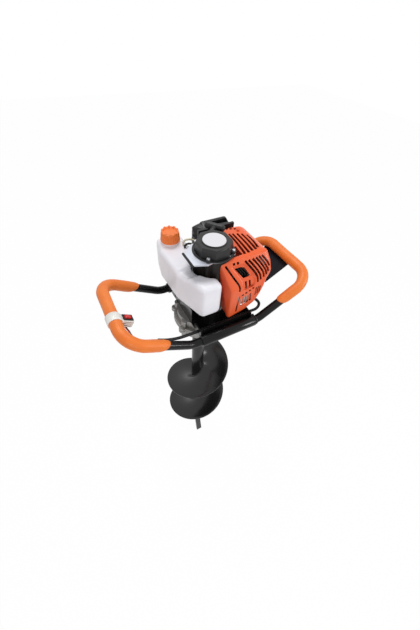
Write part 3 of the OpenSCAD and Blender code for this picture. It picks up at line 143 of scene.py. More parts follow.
def new_group(name, inputs, outputs):
    group = bpy.data.node_groups.new(name, "ShaderNodeTree")
    for socket, value in inputs:
        made = group.interface.new_socket(socket, in_out="INPUT", socket_type="NodeSocketFloat")
        made.default_value = value
    for socket in outputs:
        group.interface.new_socket(socket, in_out="OUTPUT", socket_type="NodeSocketFloat")
    return group, group.nodes.new("NodeGroupInput"), group.nodes.new("NodeGroupOutput")


# Soft patches and fine grain over any surface
mottle, mottle_in, mottle_out = new_group(
    "mottle", [("Patch Scale", 14.0), ("Grain Scale", 700.0)], ["Patch", "Grain"])
mottle_place = mottle.nodes.new("ShaderNodeTexCoord")
for output, scale_name, detail in (("Patch", "Patch Scale", 4.0), ("Grain", "Grain Scale", 2.0)):
    cloud = mottle.nodes.new("ShaderNodeTexNoise")
    cloud.inputs["Detail"].default_value = detail
    mottle.links.new(mottle_place.outputs["Object"], cloud.inputs["Vector"])
    mottle.links.new(mottle_in.outputs[scale_name], cloud.inputs["Scale"])
    spread = mottle.nodes.new("ShaderNodeMapRange")
    spread.inputs["From Min"].default_value = 0.3
    spread.inputs["From Max"].default_value = 0.7
    mottle.links.new(cloud.outputs["Fac"], spread.inputs["Value"])
    mottle.links.new(spread.outputs[0], mottle_out.inputs[output])

# A ragged line along outer edges, where handling rubs a finish
edge_wear, edge_in, edge_out = new_group(
    "edge_wear", [("Width", 0.001), ("Ragged Scale", 160.0)], ["Edge"])
edge_round = edge_wear.nodes.new("ShaderNodeBevel")
edge_round.samples = 4
edge_wear.links.new(edge_in.outputs["Width"], edge_round.inputs["Radius"])
edge_true = edge_wear.nodes.new("ShaderNodeNewGeometry")
edge_turn = edge_wear.nodes.new("ShaderNodeVectorMath")
edge_turn.operation = "DOT_PRODUCT"
edge_wear.links.new(edge_round.outputs[0], edge_turn.inputs[0])
edge_wear.links.new(edge_true.outputs["Normal"], edge_turn.inputs[1])
edge_band = edge_wear.nodes.new("ShaderNodeMapRange")
edge_band.inputs["From Min"].default_value = 0.97
edge_band.inputs["From Max"].default_value = 0.8
edge_wear.links.new(edge_turn.outputs["Value"], edge_band.inputs["Value"])
edge_place = edge_wear.nodes.new("ShaderNodeTexCoord")
edge_cloud = edge_wear.nodes.new("ShaderNodeTexNoise")
edge_cloud.inputs["Detail"].default_value = 6.0
edge_wear.links.new(edge_place.outputs["Object"], edge_cloud.inputs["Vector"])
edge_wear.links.new(edge_in.outputs["Ragged Scale"], edge_cloud.inputs["Scale"])
edge_break = edge_wear.nodes.new("ShaderNodeMapRange")
edge_break.inputs["From Min"].default_value = 0.4
edge_break.inputs["From Max"].default_value = 0.6
edge_wear.links.new(edge_cloud.outputs["Fac"], edge_break.inputs["Value"])
edge_mask = edge_wear.nodes.new("ShaderNodeMath")
edge_mask.operation = "MULTIPLY"
edge_wear.links.new(edge_band.outputs[0], edge_mask.inputs[0])
edge_wear.links.new(edge_break.outputs[0], edge_mask.inputs[1])
edge_wear.links.new(edge_mask.outputs[0], edge_out.inputs["Edge"])


def blend_colours(tree, factor, first, second):
    mix = tree.nodes.new("ShaderNodeMix")
    mix.data_type = "RGBA"
    tree.links.new(factor, mix.inputs[0])
    for socket, colour in ((mix.inputs[6], first), (mix.inputs[7], second)):
        if isinstance(colour, bpy.types.NodeSocket):
            tree.links.new(colour, socket)
        else:
            socket.default_value = colour
    return mix.outputs[2]


def between(tree, factor, low, high):
    span = tree.nodes.new("ShaderNodeMapRange")
    span.inputs["To Min"].default_value = low
    span.inputs["To Max"].default_value = high
    tree.links.new(factor, span.inputs["Value"])
    return span.outputs[0]


def finish(name, colour, patch, rough, patch_scale=14.0, grain_scale=700.0, grain=0.12,
           grain_depth=0.0003, metal=0.0, coat=0.0, shine=0.5, worn=None, wear=0.6, wear_width=0.001):
    """A painted, moulded or bare surface: two near colours in patches, grain, and rubbed edges."""
    material = bpy.data.materials.new(name)
    material.use_nodes = True
    tree = material.node_tree
    skin = tree.nodes["Principled BSDF"]
    skin.inputs["Metallic"].default_value = metal
    skin.inputs["Specular IOR Level"].default_value = shine
    skin.inputs["Coat Weight"].default_value = coat
    skin.inputs["Coat Roughness"].default_value = 0.08
    spots = tree.nodes.new("ShaderNodeGroup")
    spots.node_tree = mottle
    spots.inputs["Patch Scale"].default_value = patch_scale
    spots.inputs["Grain Scale"].default_value = grain_scale
    tint = blend_colours(tree, spots.outputs["Patch"], colour, patch)
    if worn is not None:
        rub = tree.nodes.new("ShaderNodeGroup")
        rub.node_tree = edge_wear
        rub.inputs["Width"].default_value = wear_width
        tint = blend_colours(tree, between(tree, rub.outputs["Edge"], 0.0, wear), tint, worn)
    tree.links.new(tint, skin.inputs["Base Color"])
    tree.links.new(between(tree, spots.outputs["Patch"], rough[0], rough[1]), skin.inputs["Roughness"])
    bump = tree.nodes.new("ShaderNodeBump")
    bump.inputs["Strength"].default_value = grain
    bump.inputs["Distance"].default_value = grain_depth
    tree.links.new(spots.outputs["Grain"], bump.inputs["Height"])
    tree.links.new(bump.outputs["Normal"], skin.inputs["Normal"])
    return material


def dress(names, material, soft_edge=0.0):
    """Give CAD nodes their finish, and a small live bevel that catches the light."""
    for name in names:
        node = nodes[name]
        node.data.materials.clear()
        node.data.materials.append(material)
        if soft_edge:
            joined = node.modifiers.new("join_faces", "WELD")
            joined.merge_threshold = 1e-6
            rounded = node.modifiers.new("soft_edges", "BEVEL")
            rounded.width = soft_edge
            rounded.segments = 2
            rounded.limit_method = "ANGLE"
            rounded.angle_limit = math.radians(40)
            rounded.harden_normals = True


black_paint = finish("black_paint", shade(14, 14, 15), shade(20, 20, 21), (0.13, 0.24), grain_scale=260.0,
                     grain=0.04, shine=0.22, worn=shade(110, 110, 112), wear=0.35)
dress(["base_frame"], black_paint, 0.0012)

# Handles: one bent steel tube each side, pushed into the sleeves and held by bolts from below.
# Drawn smooth, with the bends of a tube bender, in the same gloss black paint.
sleeve_height = 0.935
sleeve_reach = 0.12
handle_middle = 0.024
bend_reach = 0.111
bend_radius = 0.06
bend_rise = math.radians(30.7)
leg_length = 0.203
corner_radius = 0.055
tube_radius = 0.0125


def on_slope(side, along, across, out=0.0):
    """A point in the sloping plane of a handle: along its legs, across it, and out of it."""
    reach = bend_reach + along * math.cos(bend_rise) - out * math.sin(bend_rise)
    rise = along * math.sin(bend_rise) + out * math.cos(bend_rise)
    return Vector((handle_middle + side * reach, across, sleeve_height + rise))


def half_loop(side, across, start, steps=20):
    """Points along one leg from start, round its corner to the middle of the crossbar."""
    straight = leg_length - corner_radius
    points = [on_slope(side, start + (straight - start) * i / 12, across * sleeve_reach) for i in range(12)]
    for i in range(steps + 1):
        turn = math.pi / 2 * i / steps
        points.append(on_slope(side, straight + corner_radius * math.sin(turn),
                               across * (sleeve_reach - corner_radius + corner_radius * math.cos(turn))))
    reach = sleeve_reach - corner_radius
    points += [on_slope(side, leg_length, across * reach * (1 - i / 8)) for i in range(1, 8)]
    return points


def whole_loop(side, start):
    front = half_loop(side, -1, start)
    return half_loop(side, 1, start) + [on_slope(side, leg_length, 0.0)] + front[::-1]


def lower_bend(side, across, steps=14):
    take = bend_radius * math.tan(bend_rise / 2)
    points = [Vector((handle_middle + side * (0.022 + 0.06 * i / 4), across * sleeve_reach, sleeve_height))
              for i in range(4)]
    for i in range(steps + 1):
        turn = bend_rise * i / steps
        points.append(Vector((handle_middle + side * (bend_reach - take + bend_radius * math.sin(turn)),
                              across * sleeve_reach, sleeve_height + bend_radius * (1 - math.cos(turn)))))
    return points


def swept(name, points, radius, radii=None, resolution=8):
    """A round bar along a line of points, with its own thickness at each point."""
    bpy.ops.object.select_all(action="DESELECT")
    line = bpy.data.curves.new(name, "CURVE")
    line.dimensions = "3D"
    line.bevel_depth = radius
    line.bevel_resolution = resolution
    line.use_fill_caps = True
    path = line.splines.new("POLY")
    path.points.add(len(points) - 1)
    for i, point in enumerate(points):
        path.points[i].co = (point[0], point[1], point[2], 1)
        path.points[i].radius = 1.0 if radii is None else radii[i]
    piece = bpy.data.objects.new(name, line)
    scene.collection.objects.link(piece)
    piece.select_set(True)
    bpy.context.view_layer.objects.active = piece
    bpy.ops.object.convert(target="MESH")
    bpy.ops.object.shade_smooth_by_angle(angle=math.radians(50))
    return bpy.context.object


for side, name in ((-1, "left_handle"), (1, "right_handle")):
    rear = lower_bend(side, 1)
    front = lower_bend(side, -1)
    tube = swept(name + "_tube", rear + whole_loop(side, 0.02) + front[::-1], tube_radius, resolution=10)
    tube.data.materials.append(black_paint)
    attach(tube, "frame")
    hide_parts(name)

# Grips: thick orange foam sleeves slid over the legs and crossbar of each handle.
# Closed-cell foam, matt, with ends cut at a slant and slight swelling along its length.
grip_radius = 0.0165
grip_start = 0.079
end_length = 0.02
end_reaches = (0, 0.0004, 0.0015, 0.004, 0.008, 0.013, 0.019)
end_sizes = [0.8, 0.83, 0.86, 0.9, 0.94, 0.975, 0.995]
end_slant = 0.026
slant_reach = 0.06
foam = finish("orange_foam", shade(239, 129, 50), shade(232, 118, 43), (0.38, 0.52), patch_scale=30.0,
              grain_scale=1500.0, grain=0.25, grain_depth=0.0003, shine=0.4)
for side, name in ((-1, "left_grip"), (1, "right_grip")):
    line = whole_loop(side, grip_start)
    tips = []
    for tip, inner in ((line[0], line[1]), (line[-1], line[-2])):
        ahead = (inner - tip).normalized()
        tips.append([tip + ahead * reach for reach in end_reaches])
    middle = [point for point in line if min((point - tip[0]).length for tip in tips) > end_length]
    line = tips[0] + middle + tips[1][::-1]
    swelling = [1.0 + 0.012 * math.sin(0.5 * i) for i in range(len(middle))]
    radii = end_sizes + swelling + end_sizes[::-1]
    grip = swept(name + "_foam", line, grip_radius, radii, resolution=10)
    upper = on_slope(side, 0, 0, 1) - on_slope(side, 0, 0, 0)
    for tip in tips:
        ahead = (tip[1] - tip[0]).normalized()
        for corner in grip.data.vertices:
            offset = corner.co - tip[0]
            depth = offset.dot(ahead)
            if offset.length < 0.07 and depth < slant_reach:
                short = end_slant / 2 * (1 - offset.dot(upper) / grip_radius)
                corner.co += ahead * short * (1 - max(depth, 0) / slant_reach)
    grip.data.update()
    grip.data.materials.append(foam)
    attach(grip, "frame")
    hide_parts(name)

# Fasteners: hexagon bolts hold the handles in their sleeves, the panel on its tube and the cases together.
# All are zinc-plated steel, and so is the pin that keeps the bit on its shaft.
zinc = finish("zinc_plate", shade(196, 198, 202), shade(176, 178, 180), (0.22, 0.4), grain_scale=900.0,
              grain=0.08, metal=1.0, worn=shade(150, 148, 144), wear=0.3)
dress(["handle_bolts", "case_bolts", "cross_pin"], zinc, 0.0004)

# Guard panel: a sheet of dark polypropylene screwed under the right crossbar.
# It is cut flat, with a fine grain and slightly rubbed edges.
panel_plastic = finish("panel_plastic", shade(20, 19, 26), shade(26, 25, 32), (0.42, 0.58), grain_scale=420.0,
                       grain=0.15, shine=0.08, worn=shade(60, 60, 68), wear=0.4)
dress(["guard_panel"], panel_plastic, 0.001)

# Stop switch: a white clamp on the left grip holds a black switch with a red rocker.
# The clamp is a moulded nylon band, and the switch is pushed into the box at its side.
clamp_plastic = finish("clamp_plastic", shade(238, 237, 232), shade(228, 226, 220), (0.35, 0.5), grain=0.06)
switch_plastic = finish("switch_plastic", shade(20, 20, 21), shade(28, 28, 29), (0.3, 0.46), grain=0.1,
                        shine=0.3)
rocker_plastic = finish("rocker_plastic", shade(214, 44, 42), shade(196, 34, 34), (0.25, 0.38), grain=0.04)
dress(["switch_clamp"], clamp_plastic, 0.001)
dress(["switch_body", "cable_tie"], switch_plastic, 0.0006)
dress(["switch_rocker"], rocker_plastic, 0.0005)

# Leads and loom: a red and a black lead leave the switch and meet the loom beside the front leg.
# The loom is a black sleeved cable that runs through the gussets and up to the crankcase.


def smooth_line(points, steps):
    """A smooth curve through a few points."""
    last = len(points) - 1
    line = []
    for i in range(last):
        a, b = points[max(i - 1, 0)], points[i]
        c, d = points[i + 1], points[min(i + 2, last)]
        for k in range(steps):
            t = k / steps
            line.append(0.5 * (2 * b + (c - a) * t + (2 * a - 5 * b + 4 * c - d) * t ** 2
                               + (3 * b - 3 * c + d - a) * t ** 3))
    return line + [points[last]]


lead_radius = 0.0013
loom_radius = 0.0045
red_route = [(172, -33, -11.2), (172, -33, -12.4), (172, -33.5, -14), (169, -46, -14.5), (169, -58, -11),
             (170, -74, -8), (164, -90, -7), (146, -98, -6), (122, -98, -4.5), (100.6, -98, -4)]
black_route = [(168.2, -33, -11.2), (168.2, -33, -12.4), (168.2, -33.5, -14), (165.4, -46, -14.5),
               (165.5, -58, -11), (166.3, -73, -8), (160.5, -86.5, -7), (144.5, -94.5, -6),
               (122, -94.5, -4.5), (100.6, -94.5, -4)]
loom_route = [(-175, -96.3, 47.6), (-150, -96.3, 33), (-120, -95, 21), (-88, -92, 13), (-52, -91, 10.5),
              (-10, -91, 10), (35, -91, 10), (80, -91, 10), (120, -91, 10.5), (150, -91, 12), (166, -80, 18),
              (158, -62, 26), (132, -46, 31), (104, -34, 33), (84, -29, 37), (77, -28, 48)]
red_insulation = finish("red_insulation", shade(204, 36, 34), shade(184, 28, 30), (0.35, 0.5), grain=0.05)
black_insulation = finish("black_insulation", shade(20, 20, 21), shade(28, 28, 29), (0.35, 0.55), grain=0.1,
                          shine=0.3)
for name, route, skin in (("switch_leads_wires", red_route, red_insulation),
                          ("second_lead", black_route, black_insulation)):
    line = smooth_line([on_slope(-1, *(Vector(point) / 1000)) for point in route], 8)
    lead = swept(name, line, lead_radius, resolution=3)
    lead.data.materials.append(skin)
    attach(lead, "frame")
    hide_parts("switch_leads")


def on_shaft(x, y, z):
    """A point in millimetres from the bit's axis, at its height above the sleeves."""
    return Vector((x / 1000, y / 1000, sleeve_height + z / 1000))


loom = swept("switch_loom_sleeve", smooth_line([on_shaft(*point) for point in loom_route], 8), loom_radius,
             resolution=5)
loom.data.materials.append(black_insulation)
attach(loom, "frame")
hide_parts("switch_loom")

# Throttle: a clamp on the rear leg of the right handle with a finger lever on a pin.
# Both are moulded in black nylon, and a screw closes the clamp round the tube.
dress(["throttle_bracket", "throttle_lever"], switch_plastic, 0.0008)

# Gearbox: two die-cast aluminium halves bolted together round the reduction gears.
# Left bare and rough from the mould, with a flange and bolt lobes round the joint between the halves.
cast_alloy = finish("cast_alloy", shade(158, 156, 153), shade(136, 134, 131), (0.36, 0.52), grain_scale=520.0,
                    grain=0.35, grain_depth=0.0005, metal=0.85, worn=shade(186, 186, 188), wear=0.5)
dress(["gearbox_upper", "gearbox_lower"], cast_alloy, 0.0014)
main_reach = 72.06
idler_reach = 45.9
idler_place = 74.25
rim_out = 11
rim_in = -1
lobe_radius = 11
rim_lobes = [(math.radians(angle), main_reach + rim_out + 1, 0.0) for angle in (75, 137, 203, 285)]
rim_lobes += [(math.radians(angle), idler_reach + rim_out + 1, idler_place) for angle in (-42, 42)]


def meshed(name, points, faces, angle=40):
    """A mesh piece from its points and faces, its faces turned outwards."""
    mesh = bpy.data.meshes.new(name)
    mesh.from_pydata(points, [], faces)
    piece = bpy.data.objects.new(name, mesh)
    scene.collection.objects.link(piece)
    bpy.ops.object.select_all(action="DESELECT")
    piece.select_set(True)
    bpy.context.view_layer.objects.active = piece
    bpy.ops.object.mode_set(mode="EDIT")
    bpy.ops.mesh.select_all(action="SELECT")
    bpy.ops.mesh.normals_make_consistent(inside=False)
    bpy.ops.object.mode_set(mode="OBJECT")
    bpy.ops.object.shade_smooth_by_angle(angle=math.radians(angle))
    return piece


def prisms(name, parts):
    """Upright-sided blocks: each a flat outline, its two heights and its placing."""
    points, faces = [], []
    for outline, low, high, place in parts:
        first, count = len(points), len(outline)
        points += [place(u, v, height) for height in (low, high) for u, v in outline]
        faces.append(tuple(reversed(range(first, first + count))))
        faces.append(tuple(range(first + count, first + 2 * count)))
        faces += [(first + i, first + (i + 1) % count, first + count + (i + 1) % count, first + count + i)
                  for i in range(count)]
    return meshed(name, points, faces)


def disc(x, y, radius, sides=48):
    turns = [2 * math.pi * i / sides for i in range(sides)]
    return [(x + radius * math.cos(turn), y + radius * math.sin(turn)) for turn in turns]


def settle(piece, voxel, passes):
    """Run the parts of a piece together into one closed skin and soften it."""
    bpy.ops.object.select_all(action="DESELECT")
    piece.select_set(True)
    bpy.context.view_layer.objects.active = piece
    cells = piece.modifiers.new("cells", "REMESH")
    cells.mode = "VOXEL"
    cells.voxel_size = voxel
    bpy.ops.object.modifier_apply(modifier="cells")
    ease = piece.modifiers.new("ease", "SMOOTH")
    ease.factor = 0.5
    ease.iterations = passes
    bpy.ops.object.modifier_apply(modifier="ease")
    bpy.ops.object.shade_smooth()


def cut(piece, cuts):
    """Take upright-sided openings out of a piece: a flat outline, its two heights and its placing."""
    cutter = prisms("cutter", cuts)
    bpy.ops.object.select_all(action="DESELECT")
    piece.select_set(True)
    bpy.context.view_layer.objects.active = piece
    take = piece.modifiers.new("take", "BOOLEAN")
    take.operation = "DIFFERENCE"
    take.solver = "EXACT"
    take.object = cutter
    bpy.ops.object.modifier_apply(modifier="take")
    bpy.data.objects.remove(cutter)


def case_outline(out):
    """The case seen from above: a large round for the bit's gear run into a small one for the idler."""
    lean_in = math.acos((main_reach - idler_reach) / idler_place)
    turns = [lean_in + (2 * math.pi - 2 * lean_in) * i / 60 for i in range(61)]
    line = [((main_reach + out) * math.cos(turn), (main_reach + out) * math.sin(turn)) for turn in turns]
    turns = [2 * math.pi - lean_in + 2 * lean_in * i / 40 for i in range(41)]
    return line + [(idler_place + (idler_reach + out) * math.cos(turn), (idler_reach + out) * math.sin(turn))
                   for turn in turns]


for name, low, high in (("gearbox_upper_rim", -33.4, -27), ("gearbox_lower_rim", -41, -34.6)):
    layers = [(case_outline(rim_out), low, high, on_shaft)]
    for turn, reach, start in rim_lobes:
        lobe = disc(start + reach * math.cos(turn), reach * math.sin(turn), lobe_radius)
        layers.append((lobe, low, high, on_shaft))
    rim_piece = prisms(name, layers)
    settle(rim_piece, 0.0016, 3)
    cut(rim_piece, [(case_outline(rim_in), low - 6, high + 6, on_shaft)])
    bpy.ops.object.shade_smooth_by_angle(angle=math.radians(38))
    rim_piece.data.materials.append(cast_alloy)
    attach(rim_piece, "frame")

# Gear train, clutch and crank: turned and hardened steel that runs on ball bearings inside the castings.
# The clutch shoes are lined in black, and a rubber seal closes the case round the bit's shaft.
steel = finish("turned_steel", shade(118, 118, 122), shade(98, 98, 102), (0.25, 0.4), grain_scale=1200.0,
               grain=0.08, metal=1.0)
dress(["output_shaft", "output_gear", "idler_gear", "idler_pin", "clutch_drum", "bearings", "clutch_hub",
       "clutch_spring", "crankshaft", "connecting_rod", "flywheel"], steel)
dress(["shaft_seal", "clutch_shoes"], switch_plastic)

# Engine: a cast crankcase on the clutch housing, with a finned cylinder lying to its right.
# Bare aluminium, with a darker copy of it on the cylinder as painted shade for the inside of the cover; the
# coil, plug and carburettor are screwed to it.
dress(["clutch_housing", "crankcase"], cast_alloy, 0.0014)
# Painted shade: the cylinder's alloy is a darker copy of the cast alloy.
shaded_alloy = finish("shaded_alloy", shade(58, 56, 54), shade(46, 44, 43), (0.45, 0.6), grain_scale=520.0,
                    grain=0.3, shine=0.3, worn=shade(150, 148, 146), wear=0.5)
dress(["cylinder_block"], shaded_alloy, 0.0008)
dress(["piston", "carburettor"], cast_alloy, 0.0008)
dress(["spark_plug"], zinc)
dress(["plug_boot", "ignition_coil"], switch_plastic)

# Fan housing: a deep cast cup round the flywheel, dark brown below, with a bright plated ledge on top.
# The left edge of the ledge carries a black strip.
crank = 0.0319


def on_crank(x, y, z):
    """A point in millimetres from the crank axis, at its height above the sleeves."""
    return Vector((crank + x / 1000, y / 1000, sleeve_height + z / 1000))


def plating_and_shade_above(material, height, colour, patch):
    """A second finish on the part of a surface above a height: bright plating on the ledge and screws,
    painted shade on the muffler.
    """
    tree = material.node_tree
    skin = tree.nodes["Principled BSDF"]
    place = tree.nodes.new("ShaderNodeTexCoord")
    axes = tree.nodes.new("ShaderNodeSeparateXYZ")
    tree.links.new(place.outputs["Object"], axes.inputs[0])
    level = tree.nodes.new("ShaderNodeMapRange")
    level.inputs["From Min"].default_value = height - 0.0003
    level.inputs["From Max"].default_value = height + 0.0003
    tree.links.new(axes.outputs["Z"], level.inputs["Value"])
    spots = tree.nodes.new("ShaderNodeGroup")
    spots.node_tree = mottle
    upper_colour = blend_colours(tree, spots.outputs["Patch"], colour, patch)
    under = skin.inputs["Base Color"].links[0].from_socket
    tree.links.new(blend_colours(tree, level.outputs[0], under, upper_colour), skin.inputs["Base Color"])
    tree.links.new(between(tree, level.outputs[0], 0.4, 1.0), skin.inputs["Metallic"])


ledge_foot = sleeve_height + 0.203
fan_metal = finish("fan_metal", shade(44, 37, 35), shade(32, 28, 27), (0.24, 0.38), grain_scale=420.0,
                   grain=0.15, shine=0.3, worn=shade(130, 126, 124), wear=0.4)
plating_and_shade_above(fan_metal, ledge_foot, shade(206, 209, 217), shade(186, 189, 198))
dress(["fan_housing"], fan_metal, 0.0008)
edging = swept("ledge_edging", [on_crank(-79.5, 20 - 5.9 * i, 205) for i in range(11)], 0.0034, resolution=4)
edging.data.materials.append(black_insulation)
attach(edging, "frame")

# Starter: an eight-sided moulded cover over the rope reel, held by three screws through its lugs.
# A plain silver disc lies in a raised ring on its top.
starter_top = sleeve_height + 0.237
starter_plastic = finish("starter_plastic", shade(46, 45, 46), shade(36, 35, 36), (0.26, 0.42),
                         grain_scale=420.0, grain=0.2, shine=0.3, worn=shade(92, 90, 90), wear=0.5)
dress(["starter_housing"], starter_plastic, 0.003)
screw_finish = finish("screw_finish", shade(214, 84, 40), shade(200, 76, 36), (0.3, 0.42), grain=0.08)
plating_and_shade_above(screw_finish, sleeve_height + 0.2105, shade(208, 210, 214), shade(188, 190, 194))
dress(["cover_screws"], screw_finish, 0.0004)


def turned(name, place, profile, steps=96, ripple=None, ring=False):
    """A turned piece: (radius, height) pairs round an upright axis, closed by ends or into a ring."""
    points, faces = [], []
    for k, (radius, height) in enumerate(profile):
        for i in range(steps):
            turn = 2 * math.pi * i / steps
            more, lift = ripple(turn, k) if ripple else (0.0, 0.0)
            points.append(Vector(place) + Vector(((radius + more) * math.cos(turn),
                                                  (radius + more) * math.sin(turn), height + lift)))
    last = len(profile)
    for k in range(last if ring else last - 1):
        low, high = k * steps, (k + 1) % last * steps
        faces += [(low + i, low + (i + 1) % steps, high + (i + 1) % steps, high + i) for i in range(steps)]
    if not ring:
        faces += [tuple(reversed(range(steps))), tuple(range((last - 1) * steps, last * steps))]
    return meshed(name, points, faces)


badge_foil = finish("badge_foil", shade(226, 226, 230), shade(214, 214, 219), (0.22, 0.34), grain=0.03,
                    metal=0.35)
badge = turned("starter_badge", (crank, 0, starter_top), profile=[
    (0.0312, 0.0002), (0.0312, 0.001), (0.0308, 0.0014)])
badge.data.materials.append(badge_foil)
badge_rim = turned("starter_badge_rim", (crank, 0, starter_top), ring=True, profile=[
    (0.0345, 0.0001), (0.0345, 0.0014), (0.0338, 0.0022), (0.0322, 0.0022), (0.0315, 0.0015),
    (0.0315, 0.0001)])
badge_rim.data.materials.append(starter_plastic)
# Painted shadow: a black ring round the starter's foot stands partly for its dark recess and partly for the
# shadow the starter casts on the ledge.
shadow_ring = turned("starter_shadow_ring", (crank, 0, sleeve_height + 0.2071), ring=True, profile=[
    (0.0575, 0.0), (0.0575, 0.0016), (0.0566, 0.0026), (0.0515, 0.0026), (0.0515, 0.0)])
shadow_ring.data.materials.append(black_insulation)
for piece, slot in ((badge, "bright_zinc"), (badge_rim, "grey_plastic"), (shadow_ring, "black_rubber")):
    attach(piece, "frame")

# Pull cord: a braided nylon rope wound on the plastic reel, with a moulded handle tied to its end.
# The rope comes out of a nose on the starter's side.
pull_turn = math.radians(41)
rope_side = 28
rope_level = 221
rope_radius = 0.002
rope_fibre = finish("rope_fibre", shade(214, 208, 190), shade(190, 184, 166), (0.7, 0.9), grain_scale=900.0,
                    grain=0.5)


def on_rope(along):
    """A point on the pull cord's line, in millimetres from beside the crank."""
    return on_crank(along * math.cos(pull_turn) - rope_side * math.sin(pull_turn),
                    along * math.sin(pull_turn) + rope_side * math.cos(pull_turn), rope_level)


rope = swept("starter_rope_cord", [on_rope(4 + 1.05 * i) for i in range(61)], rope_radius, resolution=3)
rope.data.materials.append(rope_fibre)
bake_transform(rope)
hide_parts("starter_rope")
dress(["starter_reel"], clamp_plastic)
handle_plastic = finish("handle_plastic", shade(30, 30, 32), shade(38, 38, 40), (0.34, 0.5),
                        grain_scale=420.0, grain=0.15, shine=0.3)
dress(["pull_handle"], handle_plastic)

# Muffler: a pressed box of aluminised steel bolted to the exhaust port, a little browned by heat.
# Its foot stays bright behind the cover's lower slots. Above that it is coloured black as painted shade for
# the dark inside of the cover.
painted_shade_height = sleeve_height + 0.098
heat_tint_and_shade_steel = finish("heat_tint_and_shade_steel", shade(206, 202, 196), shade(176, 168, 158), (0.3, 0.46), grain=0.15,
                     metal=0.9)
# Painted shade: above this height the steel is coloured near black.
plating_and_shade_above(heat_tint_and_shade_steel, painted_shade_height, shade(50, 46, 44), shade(40, 36, 35))
dress(["muffler"], heat_tint_and_shade_steel, 0.002)

# Shroud: one orange moulding over the cylinder and muffler, open at its foot and cut with cooling slots.
# Its front leans back to the starter, with a scooped recess and a window on the muffler; two screws hold it.
shroud_plastic = finish("shroud_plastic", shade(239, 103, 56), shade(232, 94, 48), (0.26, 0.38),
                        grain_scale=500.0, grain=0.05, shine=0.35, worn=shade(248, 140, 92), wear=0.4)
shroud_tree = shroud_plastic.node_tree
shroud_skin = shroud_tree.nodes["Principled BSDF"]
# Painted shade: ambient occlusion turns the orange towards a deep red wherever other parts stand close, such
# as on the flank beside the tank.
painted_shade_occlusion = shroud_tree.nodes.new("ShaderNodeAmbientOcclusion")
painted_shade_occlusion.samples = 8
painted_shade_occlusion.inputs["Distance"].default_value = 0.2
painted_shade_share = between(shroud_tree, painted_shade_occlusion.outputs["AO"], 0.95, 0.0)
shroud_tint = shroud_skin.inputs["Base Color"].links[0].from_socket
shroud_tint = blend_colours(shroud_tree, painted_shade_share, shroud_tint, shade(166, 46, 30))
shroud_tree.links.new(shroud_tint, shroud_skin.inputs["Base Color"])
shroud_wall = 0.0025
lean = math.atan2(70, 43)
foot_rise = math.atan2(34, 112)
ball_ways = []
for i in range(72):
    level = 1 - (2 * i + 1) / 72
    ball_ways.append(Vector((math.sqrt(1 - level ** 2) * math.cos(2.399963 * i),
                             math.sqrt(1 - level ** 2) * math.sin(2.399963 * i), level)))


def moulding(name, groups, voxel, passes):
    """A moulded form: skins stretched over groups of balls (x, y, z, radius), run together and softened."""
    form = bmesh.new()
    for balls in groups:
        tips = [form.verts.new(on_crank(x, y, z) + way * radius / 1000)
                for x, y, z, radius in balls for way in ball_ways]
        skin = bmesh.ops.convex_hull(form, input=tips)
        spare = [corner for corner in skin["geom_interior"] if isinstance(corner, bmesh.types.BMVert)]
        bmesh.ops.delete(form, geom=spare, context="VERTS")
    bmesh.ops.recalc_face_normals(form, faces=form.faces)
    mesh = bpy.data.meshes.new(name)
    form.to_mesh(mesh)
    form.free()
    piece = bpy.data.objects.new(name, mesh)
    scene.collection.objects.link(piece)
    settle(piece, voxel, passes)
    return piece


def on_lean(across, along, out=0.0):
    """A point on the leaning front: across it, along it from its upper edge, and out of it."""
    return on_crank(across, -53 + along * math.cos(lean) - out * math.sin(lean),
                    200 + along * math.sin(lean) + out * math.cos(lean))


def on_front(across, up, out=0.0):
    return on_crank(across, -96 - out, up)


def on_foot(along, back, up):
    return on_crank(8 + along * math.cos(foot_rise) - up * math.sin(foot_rise), -84 + back,
                    20 + along * math.sin(foot_rise) + up * math.cos(foot_rise))


def ribbon(points, width, end_width=None):
    """The outline of a slot along a bent line, of one width or widening to its end."""
    line = smooth_line([Vector(point) for point in points], 5)
    left, right = [], []
    for i, point in enumerate(line):
        ahead = (line[min(i + 1, len(line) - 1)] - line[max(i - 1, 0)]).normalized()
        wide = width + ((end_width or width) - width) * i / (len(line) - 1)
        side = Vector((-ahead.y, ahead.x)) * wide / 2
        left.append(point + side)
        right.append(point - side)
    return left + right[::-1]


def block(left, right, low, high):
    return [(left, low), (right, low), (right, high), (left, high)]


roll_round = 8
barrel = []
for x, z, radius in ((118, 165, 40), (142, 110, 40), (128, 62, 34), (62, 195, 10), (62, 40, 10)):
    for i in range(20):
        turn = math.pi / 10 * i
        for y in (-50 + roll_round, 80 - roll_round):
            barrel.append((x + (radius - roll_round) * math.cos(turn), y,
                           z + (radius - roll_round) * math.sin(turn), roll_round))
hood = [(14, -90, 28, 6), (14, -90, 127, 6), (64, -87, 40, 8), (92, -86, 58, 9), (108, -84, 80, 9),
        (118, -82, 104, 9), (125, -78, 130, 9), (140, -69, 154, 10), (141, -60, 168, 10), (134, -47, 193, 10),
        (-2, -47, 194, 9), (18, -48, 32, 9), (100, -48, 62, 9), (139, -50, 150, 9)]
shroud = moulding("shroud_moulding", [barrel, hood], 0.0024, 8)

recess_depth = 5.5
recess_slope = 8
recess = [[Vector(corner) for corner in ((20, -15), (47, -63), (96, -59), (65, -15))],
          [Vector(corner) for corner in ((45, -52), (49, -94), (92, -94), (95, -52))]]
lean_out = on_lean(0, 0, 1) - on_lean(0, 0, 0)
lean_along = on_lean(0, 1, 0) - on_lean(0, 0, 0)


def ramp(value, low, high):
    """A smooth rise from 0 at the low value to 1 at the high one."""
    share = min(max((value - low) / (high - low), 0.0), 1.0)
    return share * share * (3 - 2 * share)


